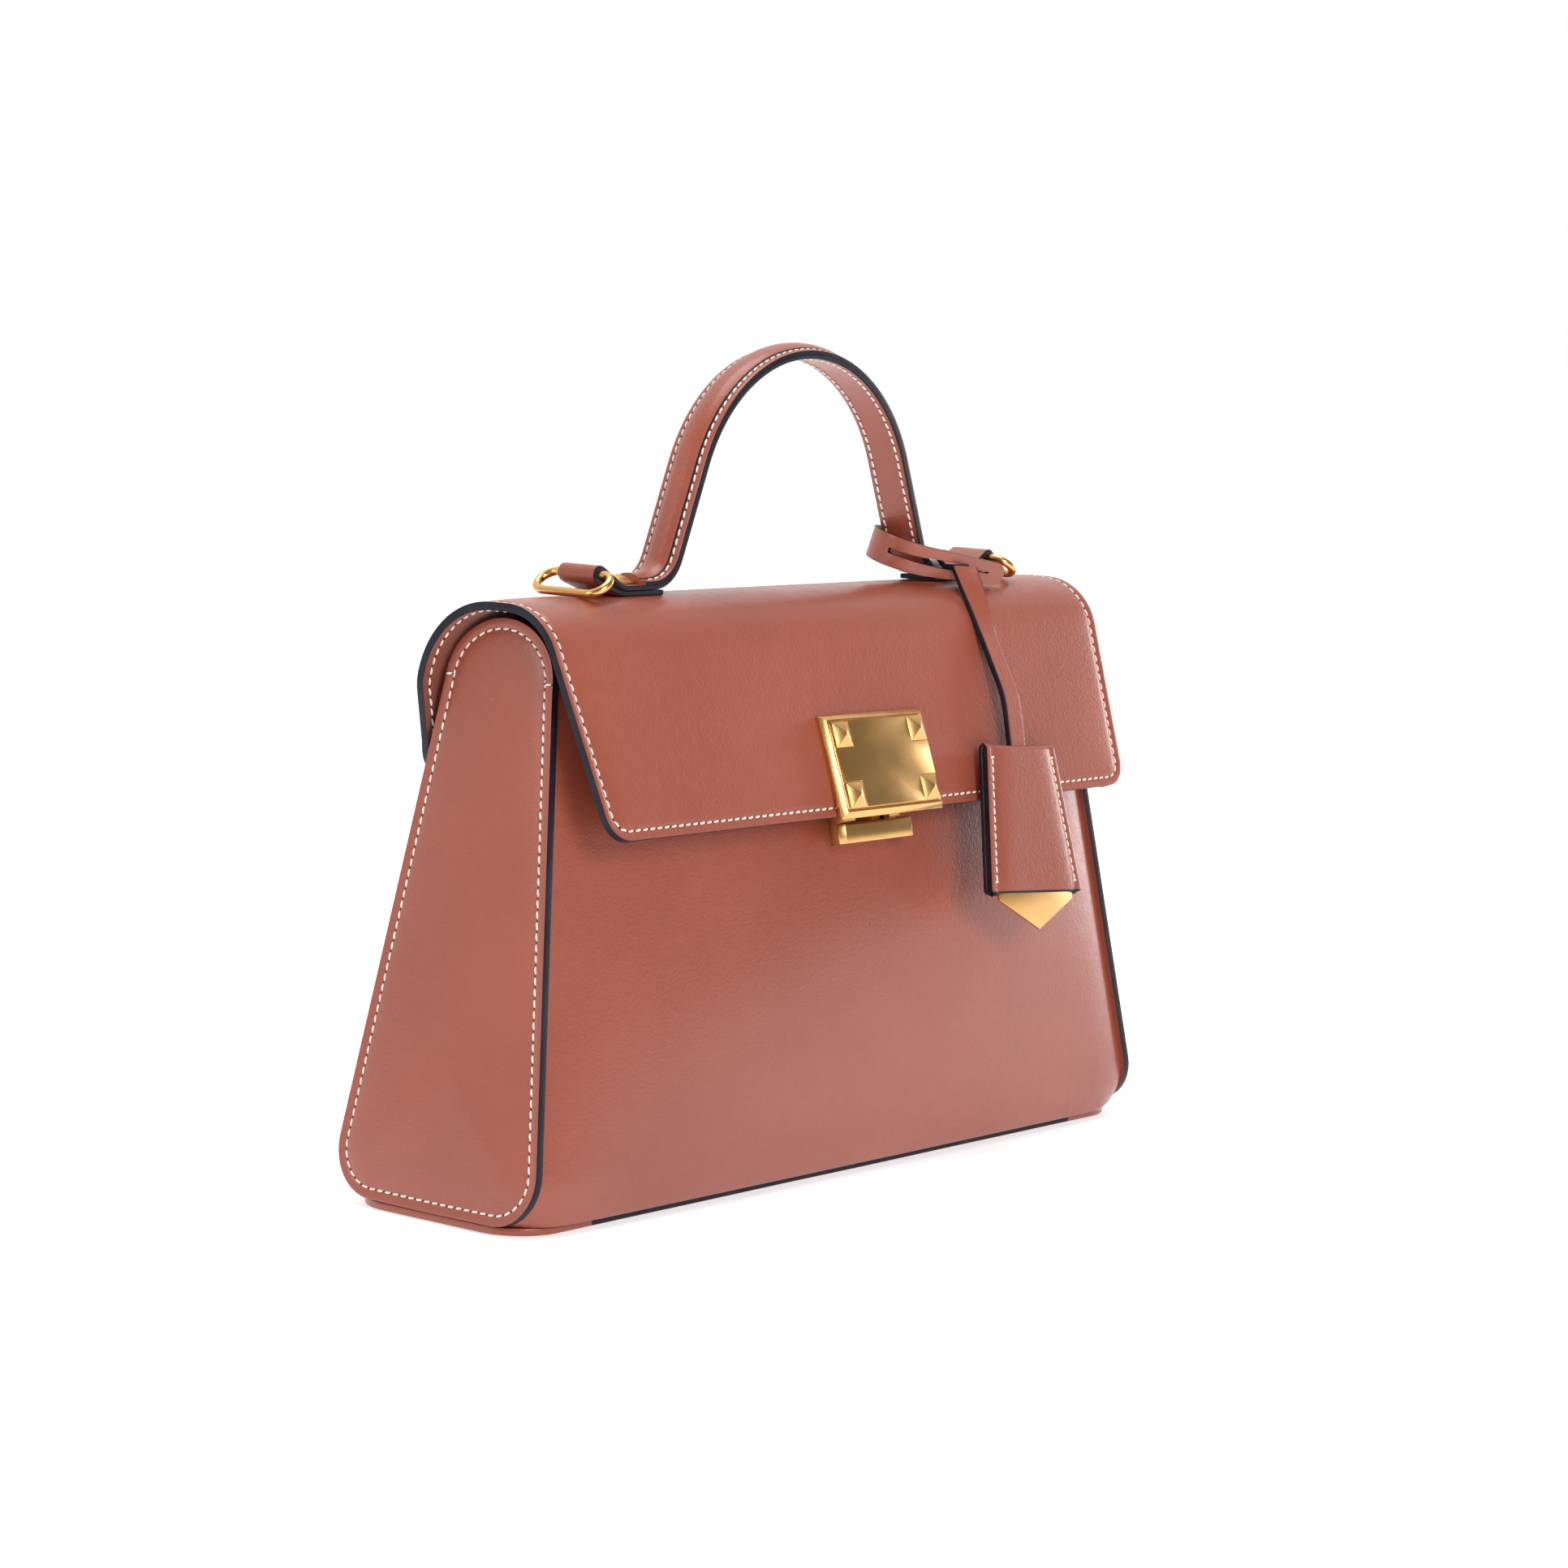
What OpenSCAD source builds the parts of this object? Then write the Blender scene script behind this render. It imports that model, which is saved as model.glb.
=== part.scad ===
// Structured leather handbag with a front flap, one top handle and a press lock.
// Origin: centre of the base, on the surface it stands on.
// X runs along the width, the front faces -Y, Z is up. Millimetres.

/* [Body] */
// Width over both gussets at the foot
base_w = 300; // [285:1:310]
// Width over both gussets at the mouth
mouth_w = 253; // [245:1:262]
// Depth over the seams at the foot
base_d = 83.4; // [80:0.2:88]
// Depth over the seams at the mouth
mouth_d = 42.2; // [40:0.2:44]
// Height of the mouth
mouth_z = 155; // [152:1:157]
// Thickness of the front and back panels
panel_t = 2.2; // [1.8:0.1:2.6]
// Thickness of the gussets
gusset_t = 2.8; // [2.2:0.1:3.2]
// Thickness of the linings
lining_t = 0.9; // [0.6:0.1:1.2]
// How far the front panel swells at its fullest height
front_swell = 9; // [7:0.5:10]
// How far the front panel swells at the mouth
front_mouth_swell = 4.2; // [3:0.1:5]
// How far the back panel swells at its fullest height
back_swell = 6; // [4:0.5:8]
// How far the back panel swells behind the flap seam
back_seam_swell = 1.4; // [0.8:0.1:1.5]
// Height of the fullest part of both panels
swell_z = 75; // [65:1:85]
// How far a panel turns in beside the gusset
edge_turn = 1.8; // [1:0.1:2.4]
// How far a panel rolls in above the base
foot_roll = 4.5; // [3:0.5:6]
// Height over which a panel rolls in above the base
foot_roll_h = 16; // [12:1:20]

/* [Gussets] */
// Height of the rounded ear above the mouth
ear_h = 19; // [15:0.5:20]
// Corner radius at the foot of a gusset
gusset_r = 15; // [10:1:18]

/* [Base] */
// Thickness of the base plate
base_t = 2.6; // [2.2:0.1:3]
// Depth of the base plate
base_plate_d = 77; // [74:1:80]
// Corner radius of the base plate
base_r = 15; // [10:1:18]
// Thickness of the stiff board inside
board_t = 1.8; // [1.2:0.1:2.4]
// Gap between the board and the linings around it
board_gap = 2; // [1:0.5:3]

/* [Pocket] */
// Width of the slip pocket
pocket_w = 150; // [120:5:170]
// Height of the pocket foot above the base
pocket_z = 42; // [35:1:50]
// Height of the slip pocket
pocket_h = 78; // [60:2:90]

/* [Flap] */
// Height of the top of the flap
flap_top = 179.6; // [179:0.1:181]
// Height of the front edge of the flap
flap_front_z = 114; // [112:1:116]
// Height of the back edge of the flap
flap_back_z = 125.6; // [124:0.2:127]
// Width over the flap at its top
flap_w = 264.8; // [258:0.5:270]
// Width over the flap at its front edge
flap_front_w = 255.2; // [250:0.5:258]
// Lean of the front slope from upright, in degrees
flap_lean = 20; // [19:0.5:21]
// Lean of the back drop from upright, in degrees
flap_back_lean = 5; // [4.5:0.5:5.5]
// Radius of the front shoulder
front_shoulder_r = 21; // [20:0.5:22]
// Radius of the back shoulder
back_shoulder_r = 29; // [28.5:0.5:29.5]
// Where the flat top meets the front shoulder
flap_top_y0 = -8.4; // [-9:0.1:-8]
// Where the flat top meets the back shoulder
flap_top_y1 = -1.5; // [-1.8:0.1:-1.2]
// Thickness of the outer leather
flap_leather_t = 1.2; // [1:0.1:1.4]
// Thickness of the filler board
flap_board_t = 0.8; // [0.6:0.1:1]
// Thickness of the flap lining
flap_lining_t = 1; // [0.8:0.1:1.2]
// Corner radius of the flap
flap_r = 9; // [6:1:12]
// Height of the strip stitched to the back panel
seam_h = 9.2; // [8:0.2:10]

/* [Handle] */
// How far the handle rises above the flap
handle_rise = 73.4; // [68.4:1:78.4]
// Width of the handle strap
handle_w = 14.4; // [14:0.2:15.4]
// Where the middle of the handle lies from front to back
handle_y = -3.4; // [-4:0.1:-3]
// Radius of the arch, outside
arch_r = 53.8; // [53:0.2:54.6]
// Lean of the legs from upright, in degrees
leg_lean = 21.3; // [20:0.1:23]
// Radius where a leg turns out to its foot
foot_turn_r = 10; // [9:0.5:12]
// Thickness of the padded cover
cover_t = 1.3; // [1.2:0.1:1.5]
// Thickness of the filler between cover and strap
core_t = 1.2; // [0.8:0.1:1.6]
// Width of the filler
core_w = 9; // [7:0.5:10]
// Thickness of the strap
strap_t = 1.6; // [1.5:0.1:1.8]
// Thickness of the strap end that returns underneath
return_t = 1.6; // [1.5:0.1:1.8]
// Half span from the middle to the ring bar
ring_bar_x = 95.5; // [94:0.5:98]
// Half span from the middle to the stud
stud_x = 79.5; // [79:0.5:81]
// Half span to the end of the cover
cover_end_x = 75; // [74:0.5:75.5]
// Half span to the end of the return
return_end_x = 66; // [64:1:70]
// Side of the square studs on the handle
stud_w = 7.6; // [6:0.2:8]
// Height of a stud above its seat
stud_h = 3; // [2.4:0.2:3.6]
// Diameter of the stud posts
post_d = 2.4; // [2:0.2:3]
// Diameter of the washers under the flap
washer_d = 6.4; // [6:0.2:7]
// Thickness of the washers
washer_t = 0.8; // [0.6:0.1:1]

/* [Rings] */
// Height of the ring bar above the flap
ring_bar_up = 6.8; // [6.6:0.1:7.2]
// Diameter of the ring rod
rod_d = 2.6; // [2.4:0.1:2.8]
// Length of a ring, outside
ring_l = 29; // [28:0.5:32]
// Distance between the two long rods
ring_pitch = 9; // [8:0.5:10]
// Gap between a resting ring and the flap
ring_rest_gap = 0.3; // [0.2:0.1:0.5]

/* [Lock plate] */
// Width of the lock plate
plate_w = 50; // [46:1:52]
// Height of the lock plate
plate_h = 32; // [30:1:33]
// Thickness of the lock plate frame
plate_t = 2.8; // [2.4:0.2:3.2]
// Bevel of the frame
plate_bevel = 1.6; // [1:0.1:2]
// Width of the border round the cover
plate_rim = 2.6; // [2.2:0.1:3.2]
// Thickness of the cover
lock_cover_t = 0.9; // [0.6:0.1:1.2]
// How far the plate hangs below the flap edge
plate_drop = 1.2; // [0.8:0.1:1.6]
// Side of the four lock studs
lock_stud_w = 8; // [6:0.5:9]
// Height of the four lock studs
lock_stud_h = 2.2; // [1.6:0.2:2.6]
// Diameter of the lock screws
lock_screw_d = 2; // [1.6:0.1:2.2]
// Diameter of a screw head
screw_head_d = 4; // [3.6:0.1:4.4]
// Thickness of a screw head
screw_head_t = 1; // [0.8:0.1:1.2]

/* [Lock foot plate] */
// How far the plate under the flap ends inside the lock plate at each side
foot_plate_in = 3; // [2:0.5:4]
// How far it ends below the top of the lock plate
foot_plate_top_in = 2.8; // [2:0.2:3.2]
// Thickness of the plate under the flap
foot_plate_t = 1; // [0.8:0.1:1.2]
// Height of the foot plate above the flap edge
foot_plate_up = 3; // [2.6:0.1:3.4]
// Width of the hooked stub
stub_w = 10; // [8:0.5:12]
// Height of the hooked stub
stub_h = 3.5; // [3:0.1:4]

/* [Lock case] */
// Height of the lock case centre on the front panel
case_z = 109; // [107:0.5:110]
// Width of the lock case
case_w = 28; // [26:0.5:30]
// How far the cheeks of the case stand out
cheek_d = 6.5; // [6:0.1:6.8]
// Width of the channel in the case
channel_w = 16.8; // [16:0.2:18]
// Top of the case above its centre
case_up = 12; // [11.5:0.1:12.5]
// Foot of the case below its centre
case_down = 6.3; // [6.2:0.1:6.6]
// Thickness of the back wall of the case
case_wall = 1; // [0.8:0.1:1.2]
// Thickness of the floor of the case
case_floor = 1; // [0.8:0.1:1.1]
// Width of the press tab
tab_w = 36; // [32:1:40]
// Height of the press tab
tab_h = 6.2; // [5.6:0.1:6.4]
// Thickness of the press tab
tab_t = 2.4; // [2:0.1:2.6]
// How far the face of the tab stands out
tab_out = 8.6; // [8.4:0.1:8.8]
// Travel of the press tab
tab_travel = 1.5; // [1.3:0.1:1.6]
// Thickness of the slider plate
slider_t = 1; // [0.8:0.1:1.2]
// Width of the slider plate
slider_w = 14; // [12:0.5:15]
// How far the nose of the slider stands out
nose_out = 1.2; // [1:0.1:1.4]
// Height of the nose
nose_h = 2; // [1.6:0.1:2.1]
// Thickness of the leaf spring
spring_t = 0.35; // [0.25:0.05:0.4]
// Width of the leaf spring
spring_w = 8; // [6:0.5:10]
// Thickness of the clamp plate inside the bag
clamp_t = 1; // [0.8:0.1:1.2]

/* [Key bell] */
// Width of the bell at its top
bell_top_w = 36; // [34:0.5:38]
// Width of the bell at its foot
bell_foot_w = 48.5; // [47:0.5:52]
// Length of the bell
bell_l = 48; // [46:0.5:50]
// Thickness of the bell
bell_t = 4.8; // [4.7:0.1:5.4]
// Thickness of one leaf of the bell
leaf_t = 1.1; // [0.9:0.1:1.1]
// Width of the sewn margins of the bell
bell_margin = 3.2; // [2.9:0.1:3.3]
// Lean of the hanging bell, in degrees
bell_lean = 14; // [13:0.5:15]
// Height of the top of the bell
bell_z = 130.5; // [129:0.5:132]
// How far the bell slides up its strap
bell_travel = 14; // [10:1:15]
// Width of the key bell strap
charm_w = 8.4; // [8:0.1:8.6]
// Thickness of the key bell strap
charm_t = 1.9; // [1.6:0.1:2]
// Thickness of the strap where it is pared for the key plate
skive_t = 0.8; // [0.7:0.1:0.9]
// Where the strap hangs, right of the middle of the bag
charm_x = 70; // [69.8:0.1:70.4]
// Tilt of the hanging strap toward the middle, in degrees
charm_tilt = 4; // [3:0.5:5]
// Thickness of the key plate
key_t = 1.2; // [1:0.1:1.2]
// Width of the key plate at its shoulders
key_w = 39; // [34:0.5:40]
// Length of the point of the key plate
key_point = 9.5; // [8:0.5:11]
// How far the point shows below the bell
key_show = 11.5; // [10.5:0.5:12.5]
// Height of the wide part of the key plate
key_wide_h = 10; // [8:0.5:10.5]
// Width of the stem of the key plate
key_stem_w = 15; // [13:1:17]
// Diameter of the key rivet
key_rivet_d = 3; // [2.4:0.2:3.4]

/* [Hitch loop] */
// Height of the hitch loop at its left turn
loop_h = 10.2; // [10:0.1:10.6]
// Height of the hitch loop at its tip
loop_tip_h = 7.2; // [6.8:0.1:7.6]
// Height of the slit in the hitch loop
slit_h = 2.5; // [2.4:0.1:2.8]
// Fall of the loop toward its tip, in degrees
loop_fall = 6; // [5.5:0.5:6.5]
// How far the front of the loop hangs below its back, in degrees
loop_pitch = 15; // [14:0.5:16]
// Height of the slit above the flap, where the strap hangs
loop_z = 5; // [4.9:0.1:5.3]
// How far the strap climbs from the slit to pass over the handle foot
loop_climb = 4; // [3.9:0.1:4.2]
// Left end of the loop from the middle of the bag
loop_left_x = 48.2; // [47.8:0.2:49]
// Tip of the loop from the middle of the bag
loop_tip_x = 91; // [89:0.5:92]
// How far the tip stands off the handle side
loop_tip_out = 4.6; // [4.4:0.1:4.8]
// Play between the loop and the sides of the handle
loop_play = 3.3; // [3:0.1:3.6]

/* [Fits] */
// Gap between soft pieces on different bodies
soft_gap = 0.3; // [0.2:0.05:0.4]
// Running clearance of pins in their bores
run_gap = 0.08; // [0.05:0.01:0.1]
// Gap round screws and posts
hole_gap = 0.1; // [0.05:0.01:0.2]

/* [Hidden] */
over = 1;
eps = 0.02;
fine = 48;
arc_n = 10;

// Shares, powers and counts
row_shares = [0, 0.02, 0.05, 0.1, 0.2, 0.35, 0.5, 0.65, 0.8, 0.9, 1];
crown_power = 2.4;
turn_power = 18;
cols = 16;

// Body shape
side_lean = atan((base_w - mouth_w) / 2 / mouth_z);
function half_w(z) = base_w / 2 - (base_w - mouth_w) / 2 * z / mouth_z;
function half_d(z) = base_d / 2 - (base_d - mouth_d) / 2 * z / mouth_z;
function in_w(z) = half_w(z) - gusset_t / cos(side_lean);
function swell(z, mid, top, zt) = z < swell_z ? mid * sin(90 * z / swell_z)
    : z > zt ? top
    : top + (mid - top) * (1 + cos(180 * (z - swell_z) / (zt - swell_z))) / 2;
function roll(z) = z < foot_roll_h ? foot_roll * pow(1 - z / foot_roll_h, 2) : 0;
function corner_in(z) = z < gusset_r ? gusset_r - sqrt(pow(gusset_r, 2) - pow(gusset_r - z, 2)) : 0;
function wall_y(u, z, mid, top, zt) = half_d(z) - edge_turn * pow(abs(u), turn_power) - roll(z)
    + swell(z, mid, top, zt) * (1 - pow(abs(u), crown_power));
function front_y(z) = wall_y(0, z, front_swell, front_mouth_swell, mouth_z);

// Helpers
function rev(list) = [for (i = [len(list) - 1:-1:0]) list[i]];
function arc(c, r, a0, a1, n) = [for (i = [0:n]) let (a = a0 + (a1 - a0) * i / n)
    [c[0] + r * cos(a), c[1] + r * sin(a)]];
function unit(v) = v / norm(v);
function seg_n(p, q) = let (d = unit(q - p)) [-d[1], d[0]];
function mitre(p, i, side) = let (m = len(p) - 1)
    i == 0 ? seg_n(p[0], p[1]) * side
    : i == m ? seg_n(p[m - 1], p[m]) * side
    : let (a = seg_n(p[i - 1], p[i]), b = seg_n(p[i], p[i + 1]), s = unit(a + b)) s * side / (s * a);
function beside(p, side) = [for (i = [0:len(p) - 1]) p[i] + mitre(p, i, side)];
function band(p, t) = concat(beside(p, t / 2), rev(beside(p, -t / 2)));

// Thin wall between two depths, built on the back and mirrored to the front
module wall_sheet(mid, top, zt, d0, d1) {
    m = cols + 1;
    r = len(row_shares);
    function zz(i) = base_t + (mouth_z - base_t) * row_shares[i];
    function uu(j) = sin(90 * (2 * j / cols - 1));
    function xx(i, j) = uu(j) * (in_w(zz(i)) - corner_in(zz(i) - base_t));
    pts = [for (d = [d0, d1], i = [0:r - 1], j = [0:m - 1])
        [xx(i, j), wall_y(uu(j), zz(i), mid, top, zt) - d, zz(i)]];
    function o(i, j) = i * m + j;
    function n(i, j) = r * m + i * m + j;
    function two(a, b, c, d) = [[a, b, c], [a, c, d]];
    faces = [
        for (i = [0:r - 2], j = [0:m - 2]) each two(o(i, j), o(i, j + 1), o(i + 1, j + 1), o(i + 1, j)),
        for (i = [0:r - 2], j = [0:m - 2]) each two(n(i, j), n(i + 1, j), n(i + 1, j + 1), n(i, j + 1)),
        for (j = [0:m - 2]) each two(o(0, j + 1), o(0, j), n(0, j), n(0, j + 1)),
        for (j = [0:m - 2]) each two(o(r - 1, j), o(r - 1, j + 1), n(r - 1, j + 1), n(r - 1, j)),
        for (i = [0:r - 2]) each two(o(i, 0), o(i + 1, 0), n(i + 1, 0), n(i, 0)),
        for (i = [0:r - 2]) each two(o(i + 1, m - 1), o(i, m - 1), n(i, m - 1), n(i + 1, m - 1))];
    polyhedron(points = pts, faces = faces, convexity = 4);
}

module front_sheet(d0, d1) {
    mirror([0, 1, 0]) wall_sheet(front_swell, front_mouth_swell, mouth_z, d0, d1);
}

module back_sheet(d0, d1) {
    wall_sheet(back_swell, back_seam_swell, flap_back_z, d0, d1);
}

// Body
seat_gap = soft_gap / 3;
lining_in = panel_t + seat_gap;
pocket_in = lining_in + lining_t + seat_gap;
case_lean = atan((front_y(case_z - case_down) - front_y(case_z + case_up)) / (case_up + case_down));

// Place children on the front panel at the lock, Y into the bag and Z up the panel
module at_case() {
    translate([0, -front_y(case_z), case_z]) rotate([-case_lean, 0, 0]) children();
}

case_screw_x = (channel_w + case_w) / 4;
case_screw_in = panel_t + lining_t + soft_gap + clamp_t;
case_screw_zs = [case_up - screw_head_d, -case_down + screw_head_d];
low_cheek_d = tab_out - tab_t - tab_travel - soft_gap;
screw_depth = low_cheek_d - case_wall;

module case_screw_rods(d, y0, y1) {
    at_case() for (s = [-1, 1], z = case_screw_zs)
        translate([s * case_screw_x, y1, z]) rotate([90, 0, 0]) cylinder(d = d, h = y1 - y0, $fn = fine);
}

module case_screw_holes() {
    case_screw_rods(lock_screw_d + 2 * hole_gap, -screw_depth - hole_gap, case_screw_in + over);
}

module front_panel() {
    color("sienna") difference() {
        front_sheet(0, panel_t);
        case_screw_holes();
    }
}

module back_panel() {
    color("sienna") back_sheet(0, panel_t);
}

module front_lining() {
    color("indianred") difference() {
        front_sheet(lining_in, lining_in + lining_t);
        case_screw_holes();
    }
}

module back_lining() {
    color("indianred") back_sheet(lining_in, lining_in + lining_t);
}

module slip_pocket() {
    color("brown") intersection() {
        back_sheet(pocket_in, pocket_in + lining_t);
        translate([-pocket_w / 2, 0, pocket_z]) cube([pocket_w, base_d, pocket_h]);
    }
}

// Gusset outline, front to the left, drawn in the leaning plane; in_by pulls the sides in
function gusset_outline(in_by, foot, ear) = let (
    k = 1 / cos(side_lean),
    r = gusset_r - in_by,
    b = half_d(0) - in_by,
    side = atan((base_d - mouth_d) / 2 / mouth_z),
    fy = half_d(foot + r) - in_by - r / cos(side),
    e = half_d(mouth_z) - in_by)
    concat(
        arc([-fy, (foot + r) * k], r, 180 - side, 270, arc_n),
        arc([fy, (foot + r) * k], r, 270, 360 + side, arc_n),
        [for (i = [0:2 * arc_n]) let (a = 180 * i / (2 * arc_n)) [e * cos(a), (mouth_z + ear * sin(a)) * k]]);

module lean_plate(outline, t, at) {
    translate([base_w / 2, 0, 0]) rotate([0, -side_lean, 0])
        translate([-at - t, 0, 0]) rotate([90, 0, 90]) linear_extrude(t) polygon(outline);
}

module above(z) {
    translate([-base_w, -base_w, z]) cube([2 * base_w, 2 * base_w, 2 * mouth_z]);
}

module gusset() {
    intersection() {
        lean_plate(gusset_outline(0, base_t, ear_h), gusset_t, 0);
        above(base_t);
    }
}

module gusset_lining() {
    lean_plate(gusset_outline(edge_turn + panel_t + lining_t + foot_roll,
        base_t + board_t + lining_t + soft_gap,
        ear_h - lining_t), lining_t, gusset_t);
}

module right_gusset() { color("sienna") gusset(); }
module left_gusset() { color("sienna") mirror([1, 0, 0]) gusset(); }
module right_gusset_lining() { color("indianred") gusset_lining(); }
module left_gusset_lining() { color("indianred") mirror([1, 0, 0]) gusset_lining(); }

function round_rect(w, d, r) = concat(
    arc([w / 2 - r, d / 2 - r], r, 0, 90, arc_n),
    arc([r - w / 2, d / 2 - r], r, 90, 180, arc_n),
    arc([r - w / 2, r - d / 2], r, 180, 270, arc_n),
    arc([w / 2 - r, r - d / 2], r, 270, 360, arc_n));

module base_plate() {
    color("saddlebrown") linear_extrude(base_t) polygon(round_rect(base_w, base_plate_d, base_r));
}

board_w = 2 * (in_w(base_t) - corner_in(0) - board_gap);
board_d = 2 * (half_d(base_t) - roll(base_t) - panel_t - lining_t - board_gap);

module base_board() {
    color("gray") translate([0, 0, base_t]) linear_extrude(board_t)
        polygon(round_rect(board_w, board_d, board_gap));
}

module base_lining() {
    color("indianred") translate([0, 0, base_t + board_t]) linear_extrude(lining_t)
        polygon(round_rect(board_w, board_d, board_gap));
}

// Flap
flap_t = flap_leather_t + flap_board_t + flap_lining_t;
c1 = [flap_top_y0, flap_top - front_shoulder_r];
c2 = [flap_top_y1, flap_top - back_shoulder_r];
fn_out = [-cos(flap_lean), sin(flap_lean)];
fdown = [-sin(flap_lean), -cos(flap_lean)];
bn_out = [cos(flap_back_lean), sin(flap_back_lean)];
bdown = [sin(flap_back_lean), -cos(flap_back_lean)];
front_run = ((c1 + front_shoulder_r * fn_out)[1] - flap_front_z) / cos(flap_lean);
back_run = ((c2 + back_shoulder_r * bn_out)[1] - flap_back_z) / cos(flap_back_lean);
flap_edge = c1 + front_shoulder_r * fn_out + front_run * fdown;
seam_foot = c2 + back_shoulder_r * bn_out + back_run * bdown;
hinge = seam_foot - (seam_h + soft_gap / 2) * bdown;

function flap_line(o) = concat(
    [c1 + (front_shoulder_r - o) * fn_out + front_run * fdown],
    arc(c1, front_shoulder_r - o, 180 - flap_lean, 90, arc_n),
    arc(c2, back_shoulder_r - o, 90, flap_back_lean, arc_n),
    [c2 + (back_shoulder_r - o) * bn_out + (back_run - seam_h - soft_gap) * bdown]);

// What is cut from one side of a drop, in the plane of the drop with its foot at 0
function side_cut(w_foot, run) = concat(
    [[w_foot / 2 - flap_r, -over]],
    arc([w_foot / 2 - flap_r, flap_r], flap_r, -90, 0, arc_n),
    [[flap_w / 2, run], [flap_w / 2 + over, run], [flap_w / 2 + over, -over]]);

// Place children at the front edge of the flap, Y into the bag and Z up the slope
module at_flap() {
    translate([0, flap_edge[0], flap_edge[1]]) rotate([-flap_lean, 0, 0]) children();
}

module side_cuts(run, y0, y1) {
    for (side = [0, 1]) mirror([side, 0, 0]) translate([0, y1, 0]) rotate([90, 0, 0])
        linear_extrude(y1 - y0) polygon(side_cut(flap_front_w, run));
}

module front_cuts() {
    at_flap() side_cuts(front_run, -over, flap_t + over);
}

module back_cuts() {
    translate([0, seam_foot[0], seam_foot[1]]) rotate([flap_back_lean, 0, 0])
        side_cuts(back_run, -flap_t - over, over);
}

module along_flap() {
    translate([-flap_w / 2, 0, 0]) rotate([90, 0, 90]) linear_extrude(flap_w) children();
}

module flap_layer(o0, o1) {
    difference() {
        along_flap() polygon(concat(flap_line(o0), rev(flap_line(o1))));
        front_cuts();
        back_cuts();
    }
}

screw_x = plate_w / 2 - plate_rim - lock_stud_w / 2;
screw_vs = [-plate_drop + plate_rim + lock_stud_w / 2, plate_h - plate_drop - plate_rim - lock_stud_w / 2];
frame_bite = plate_t - plate_bevel / 2;

module lock_rods(d, y0, y1) {
    at_flap() for (s = [-1, 1], v = screw_vs)
        translate([s * screw_x, y1, v]) rotate([90, 0, 0]) cylinder(d = d, h = y1 - y0, $fn = fine);
}

module lock_holes() {
    lock_rods(lock_screw_d + 2 * hole_gap, -frame_bite, flap_t + foot_plate_t + over);
}

module post_holes() {
    for (s = [-1, 1]) translate([s * stud_x, handle_y, hinge[1]])
        cylinder(d = post_d + 2 * hole_gap, h = handle_top - hinge[1], $fn = fine);
}

module flap_holed(o0, o1) {
    difference() {
        flap_layer(o0, o1);
        lock_holes();
        post_holes();
    }
}

module flap_leather() { color("sienna") flap_holed(0, flap_leather_t); }
module flap_board() { color("gray") flap_holed(flap_leather_t, flap_leather_t + flap_board_t); }
module flap_lining() { color("indianred") flap_holed(flap_leather_t + flap_board_t, flap_t); }

module flap_seam() {
    color("sienna") difference() {
        along_flap() polygon([seam_foot, seam_foot - seam_h * bdown,
                              seam_foot - seam_h * bdown - flap_t * bn_out, seam_foot - flap_t * bn_out]);
        back_cuts();
    }
}

// Lock plate on the flap
// Block with its back at 0, straight sides for rim, then sloping in to a top of tw by th
module bevel_block(w, h, t, rim, tw, th) {
    intersection() {
        translate([0, h / 2, 0]) rotate([90, 0, 0]) linear_extrude(h)
            polygon([[-w / 2, 0], [w / 2, 0], [w / 2, rim], [tw / 2, t], [-tw / 2, t], [-w / 2, rim]]);
        translate([-w / 2, 0, 0]) rotate([90, 0, 90]) linear_extrude(w)
            polygon([[-h / 2, 0], [h / 2, 0], [h / 2, rim], [th / 2, t], [-th / 2, t], [-h / 2, rim]]);
    }
}

plate_v = plate_h / 2 - plate_drop;
flat_tip = soft_gap;

module on_plate(out) {
    at_flap() translate([0, -out, plate_v]) rotate([90, 0, 0]) children();
}

module lock_frame() {
    color("goldenrod") difference() {
        on_plate(0) bevel_block(plate_w, plate_h, plate_t, plate_t - plate_bevel,
                                plate_w - 2 * plate_bevel, plate_h - 2 * plate_bevel);
        lock_holes();
    }
}

module lock_cover() {
    cw = plate_w - 2 * plate_rim;
    ch = plate_h - 2 * plate_rim;
    notch = lock_stud_w + seat_gap;
    color("gold") on_plate(plate_t) difference() {
        translate([-cw / 2, -ch / 2, 0]) cube([cw, ch, lock_cover_t]);
        for (sx = [-1, 1], sy = [-1, 1]) translate([sx * cw / 2, sy * ch / 2, 0])
            cube([2 * notch, 2 * notch, 2 * lock_cover_t + over], center = true);
    }
}

module lock_studs() {
    color("gold") on_plate(plate_t) for (sx = [-1, 1], sy = [-1, 1])
        translate([sx * screw_x, sy * (plate_h / 2 - plate_rim - lock_stud_w / 2), 0])
            bevel_block(lock_stud_w, lock_stud_w, lock_stud_h + lock_cover_t / 2, lock_cover_t,
                        flat_tip, flat_tip);
}

module lock_screws() {
    color("silver") {
        lock_rods(lock_screw_d, -frame_bite + hole_gap, flap_t + foot_plate_t + seat_gap);
        lock_rods(screw_head_d, flap_t + foot_plate_t, flap_t + foot_plate_t + screw_head_t);
    }
}

// Depths in the case, measured out from the panel
wall_out = seat_gap + case_wall;
spring_out = wall_out + spring_t;
slide_out = spring_out + seat_gap + tab_travel;
nose_root = slide_out + slider_t;
stub_out = nose_root + soft_gap;
tab_top = -seat_gap;
stub_z = case_up - nose_h - 2 * seat_gap - soft_gap - stub_h;
slide_foot = -case_down + case_floor + soft_gap;

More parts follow.
